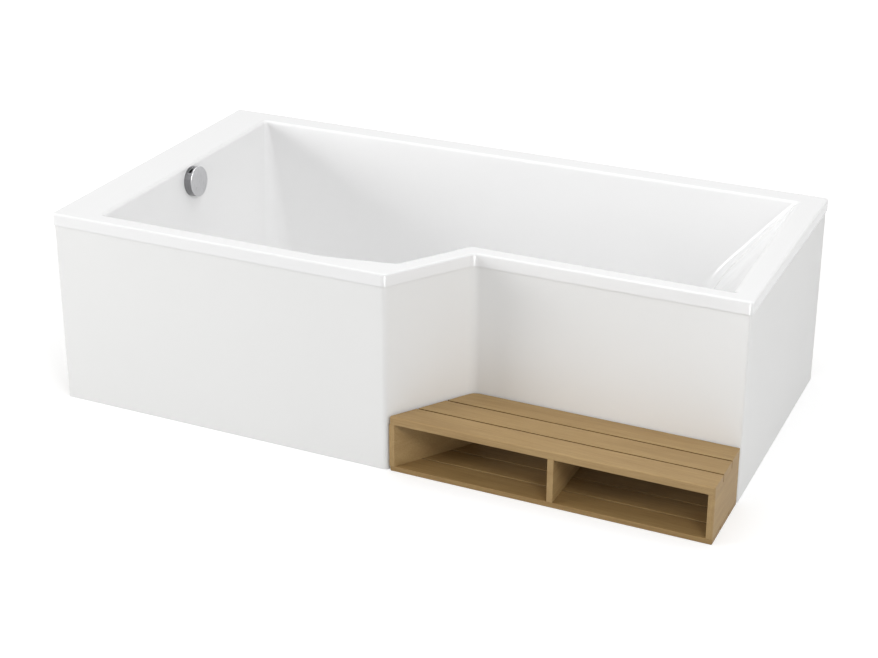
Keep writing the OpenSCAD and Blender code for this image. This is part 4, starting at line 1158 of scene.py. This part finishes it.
def make_step():
    """Three slats above, three below, and three upright boards between them."""
    low, high = LOW_SLAT_T, STEP_H - TOP_SLAT_T
    for i, place in enumerate(("front", "middle", "back")):
        y0 = STEP_FRONT + i * (SLAT_W + SLAT_GAP)
        y1 = y0 + SLAT_W
        outline = [(slant_x(y0), y0), (STEP_RIGHT, y0), (STEP_RIGHT, y1), (slant_x(y1), y1)]
        board(f"slat_top_{place}", f"top_slat_{place}", outline, high, STEP_H, "X", seed=3 + i,
              edge=0.8, front_r=4 if i == 0 else 0, gap_sides_painted_shade=True)
        # The low slats' wood is darker by a painted shade, standing for the shade inside the step under the
        # top slats
        board(f"slat_low_{place}", f"low_slat_{place}", outline, 0, low, "X", seed=11 + i, painted_shade=16, edge=1.6)
    slanted = [(FRONT_LEFT, STEP_FRONT), (FRONT_LEFT + SLANT_ACROSS, STEP_FRONT),
               (BACK_LEFT + SLANT_ACROSS, STEP_BACK), (BACK_LEFT, STEP_BACK)]
    board("board_slanted", "step_slant_board", slanted, low, high, "Y", seed=21)
    for name, node, x, seed in (("board_end", "step_end_board", STEP_RIGHT - BOARD_W, 22),
                                ("board_divider", "step_divider", DIVIDER_X, 23)):
        outline = [(x, STEP_FRONT), (x + BOARD_W, STEP_FRONT), (x + BOARD_W, STEP_BACK), (x, STEP_BACK)]
        board(name, node, outline, low, high, "Y", seed)


make_tub()
make_front_panel()
make_end_panel()
make_knob()
make_overflow_plate()
make_waste_ring()
make_plug()
make_rubber_rings()
make_hose()
make_collars()
make_cable()
make_slip_nuts()
make_feet()
make_screws()
make_step()

# Solids whose shape is kept, with softened edges
BATTENS = ("rim_batten_front", "rim_batten_narrow", "rim_batten_right", "rim_batten_back", "rim_batten_left",
           "floor_batten_front", "floor_batten_narrow", "floor_batten_end")
STEEL_BARS = ("cross_bar_wide", "cross_bar_narrow", "centre_foot_plate")
for names, material, slot, width in (
        (BATTENS, TIMBER, "frame_timber", 1.5),
        (("baseboard",), BOARD, "frame_timber", 1),
        (STEEL_BARS, ZINC, "zinc_steel", 0.5),
        (("wall_clips",), ZINC, "zinc_steel", 0.4),
        (("panel_clips",), WHITE, "white_plastic", 0.4)):
    for name in names:
        wear(softened(name + "_finished", name, width), "bath", slot, name, material)

# Solids that are seen as they are and get their finish
MOULDED = ("overflow_body", "waste_body", "cable_drum", "lift_lever", "pipe_saddle", "outlet_pipe",
           "trap_body")
for names, material, slot in (
        (("knob_spindle", "plug_stem", "lever_pin"), STEEL, "satin_steel"),
        (MOULDED, WHITE, "white_plastic"),
        (("step_dowels",), DOWEL, "dowel_wood")):
    for name in names:
        NODES[name].data.materials.clear()
        paint(NODES[name], material)

# Floor and background, in metres: white for the camera and in metal, with the shadow kept
WORLD_LEVEL = 0.46
FLOOR_GLOW = 0.48
FAR_FLOOR_GLOW = 0.8
NEAR_FLOOR = 1.3
FAR_FLOOR = 4.0


def seen_directly(tree):
    """One for rays from the camera and for what metal and glass show, otherwise zero."""
    path = add_node(tree, "ShaderNodeLightPath", {})
    total = path.outputs["Is Camera Ray"]
    for kind in ("Is Glossy Ray", "Is Transmission Ray"):
        inputs = {0: total, 1: path.outputs[kind]}
        total = add_node(tree, "ShaderNodeMath", inputs, operation="MAXIMUM").outputs["Value"]
    return total


def floor_white():
    """White that also glows, less near the bath, so that its shadow shows there."""
    s = Shader("floor_white")
    s.set(Roughness=1.0, Specular_IOR_Level=0.0, Base_Color=srgb(204, 204, 204))
    distance = s.add("ShaderNodeVectorMath", {0: s.place}, operation="LENGTH")["Value"]
    level = s.spread(distance, FLOOR_GLOW, FAR_FLOOR_GLOW, start=NEAR_FLOOR, stop=FAR_FLOOR)
    strength = s.math("MULTIPLY", seen_directly(s.tree), level)
    glow = s.add("ShaderNodeEmission", {"Color": (1, 1, 1), "Strength": strength})["Emission"]
    both = s.add("ShaderNodeAddShader", {0: s.main.outputs["BSDF"], 1: glow})["Shader"]
    feed(s.tree, both, s.tree.nodes["Material Output"].inputs["Surface"])
    return s.material


def make_floor():
    half = 30
    under_feet = 0.0004
    mesh = bpy.data.meshes.new("floor")
    points = [(-half, -half, 0), (half, -half, 0), (half, half, 0), (-half, half, 0)]
    mesh.from_pydata(points, [], [(0, 1, 2, 3)])
    floor = paint(new_object("floor", mesh), floor_white())
    floor.location.z = -under_feet


def make_world():
    """Even light from all round, with plain white where the camera looks."""
    world = bpy.data.worlds.new("studio")
    world.use_nodes = True
    tree = world.node_tree
    light = tree.nodes["Background"]
    feed(tree, (1, 1, 1), light.inputs["Color"])
    feed(tree, WORLD_LEVEL, light.inputs["Strength"])
    seen = add_node(tree, "ShaderNodeBackground", {"Color": (1, 1, 1), "Strength": 1.0})
    inputs = {"Fac": seen_directly(tree), 1: light.outputs["Background"], 2: seen.outputs["Background"]}
    mix = add_node(tree, "ShaderNodeMixShader", inputs)
    feed(tree, mix.outputs["Shader"], tree.nodes["World Output"].inputs["Surface"])
    bpy.context.scene.world = world


# Lamps and camera, in metres
def make_lamp(name, place, size, power, target=(0, 0, 0.3), gloss_only=False):
    """A square lamp, which the camera doesn't see. One for gloss only shows just in glossy surfaces."""
    data = bpy.data.lights.new(name, "AREA")
    data.shape = "SQUARE"
    data.size = size
    data.energy = power
    lamp = new_object(name, data)
    lamp.location = place
    lamp.rotation_mode = "QUATERNION"
    lamp.rotation_quaternion = (Vector(target) - Vector(place)).to_track_quat("-Z", "Y")
    lamp.visible_camera = False
    lamp.visible_diffuse = not gloss_only


def make_camera():
    azimuth, elevation = radians(24.82), radians(22.32)
    place = (1.699, -3.746, 2.095)
    data = bpy.data.cameras.new("camera")
    data.sensor_width = 36
    data.lens = 73.23
    data.shift_x = 0.008
    data.shift_y = -0.10
    data.clip_end = 200
    camera = new_object("camera", data)
    back = Vector((sin(azimuth) * cos(elevation), -cos(azimuth) * cos(elevation), sin(elevation)))
    right = Vector((cos(azimuth), sin(azimuth), 0))
    up = back.cross(right)
    turn = Matrix((right, up, back)).transposed().to_4x4()
    camera.matrix_world = Matrix.Translation(place) @ turn
    bpy.context.scene.camera = camera


make_floor()
make_world()
make_lamp("key", (-1.4, -5.2, 2.3), size=3.0, power=3)
make_lamp("fill", (5.2, -1.6, 2.6), size=3.0, power=57)
make_lamp("corner_light", (3.4, -3.6, 4.2), size=1.6, power=95)
make_lamp("top", (-0.2, 0.6, 4.2), size=3.0, power=55)
make_lamp("left_light", (-4.8, -3.4, 1.7), size=2.2, power=170)
make_lamp("edge_light", (0.86, -1.34, 0.02), size=0.4, power=9, target=(0.86, -1.34, 1), gloss_only=True)
make_lamp("knob_light", (3.23, 1.56, 1.4), size=0.7, power=60, target=(-0.73, 0, 0.46), gloss_only=True)
make_camera()
bpy.context.scene.view_settings.view_transform = "Standard"
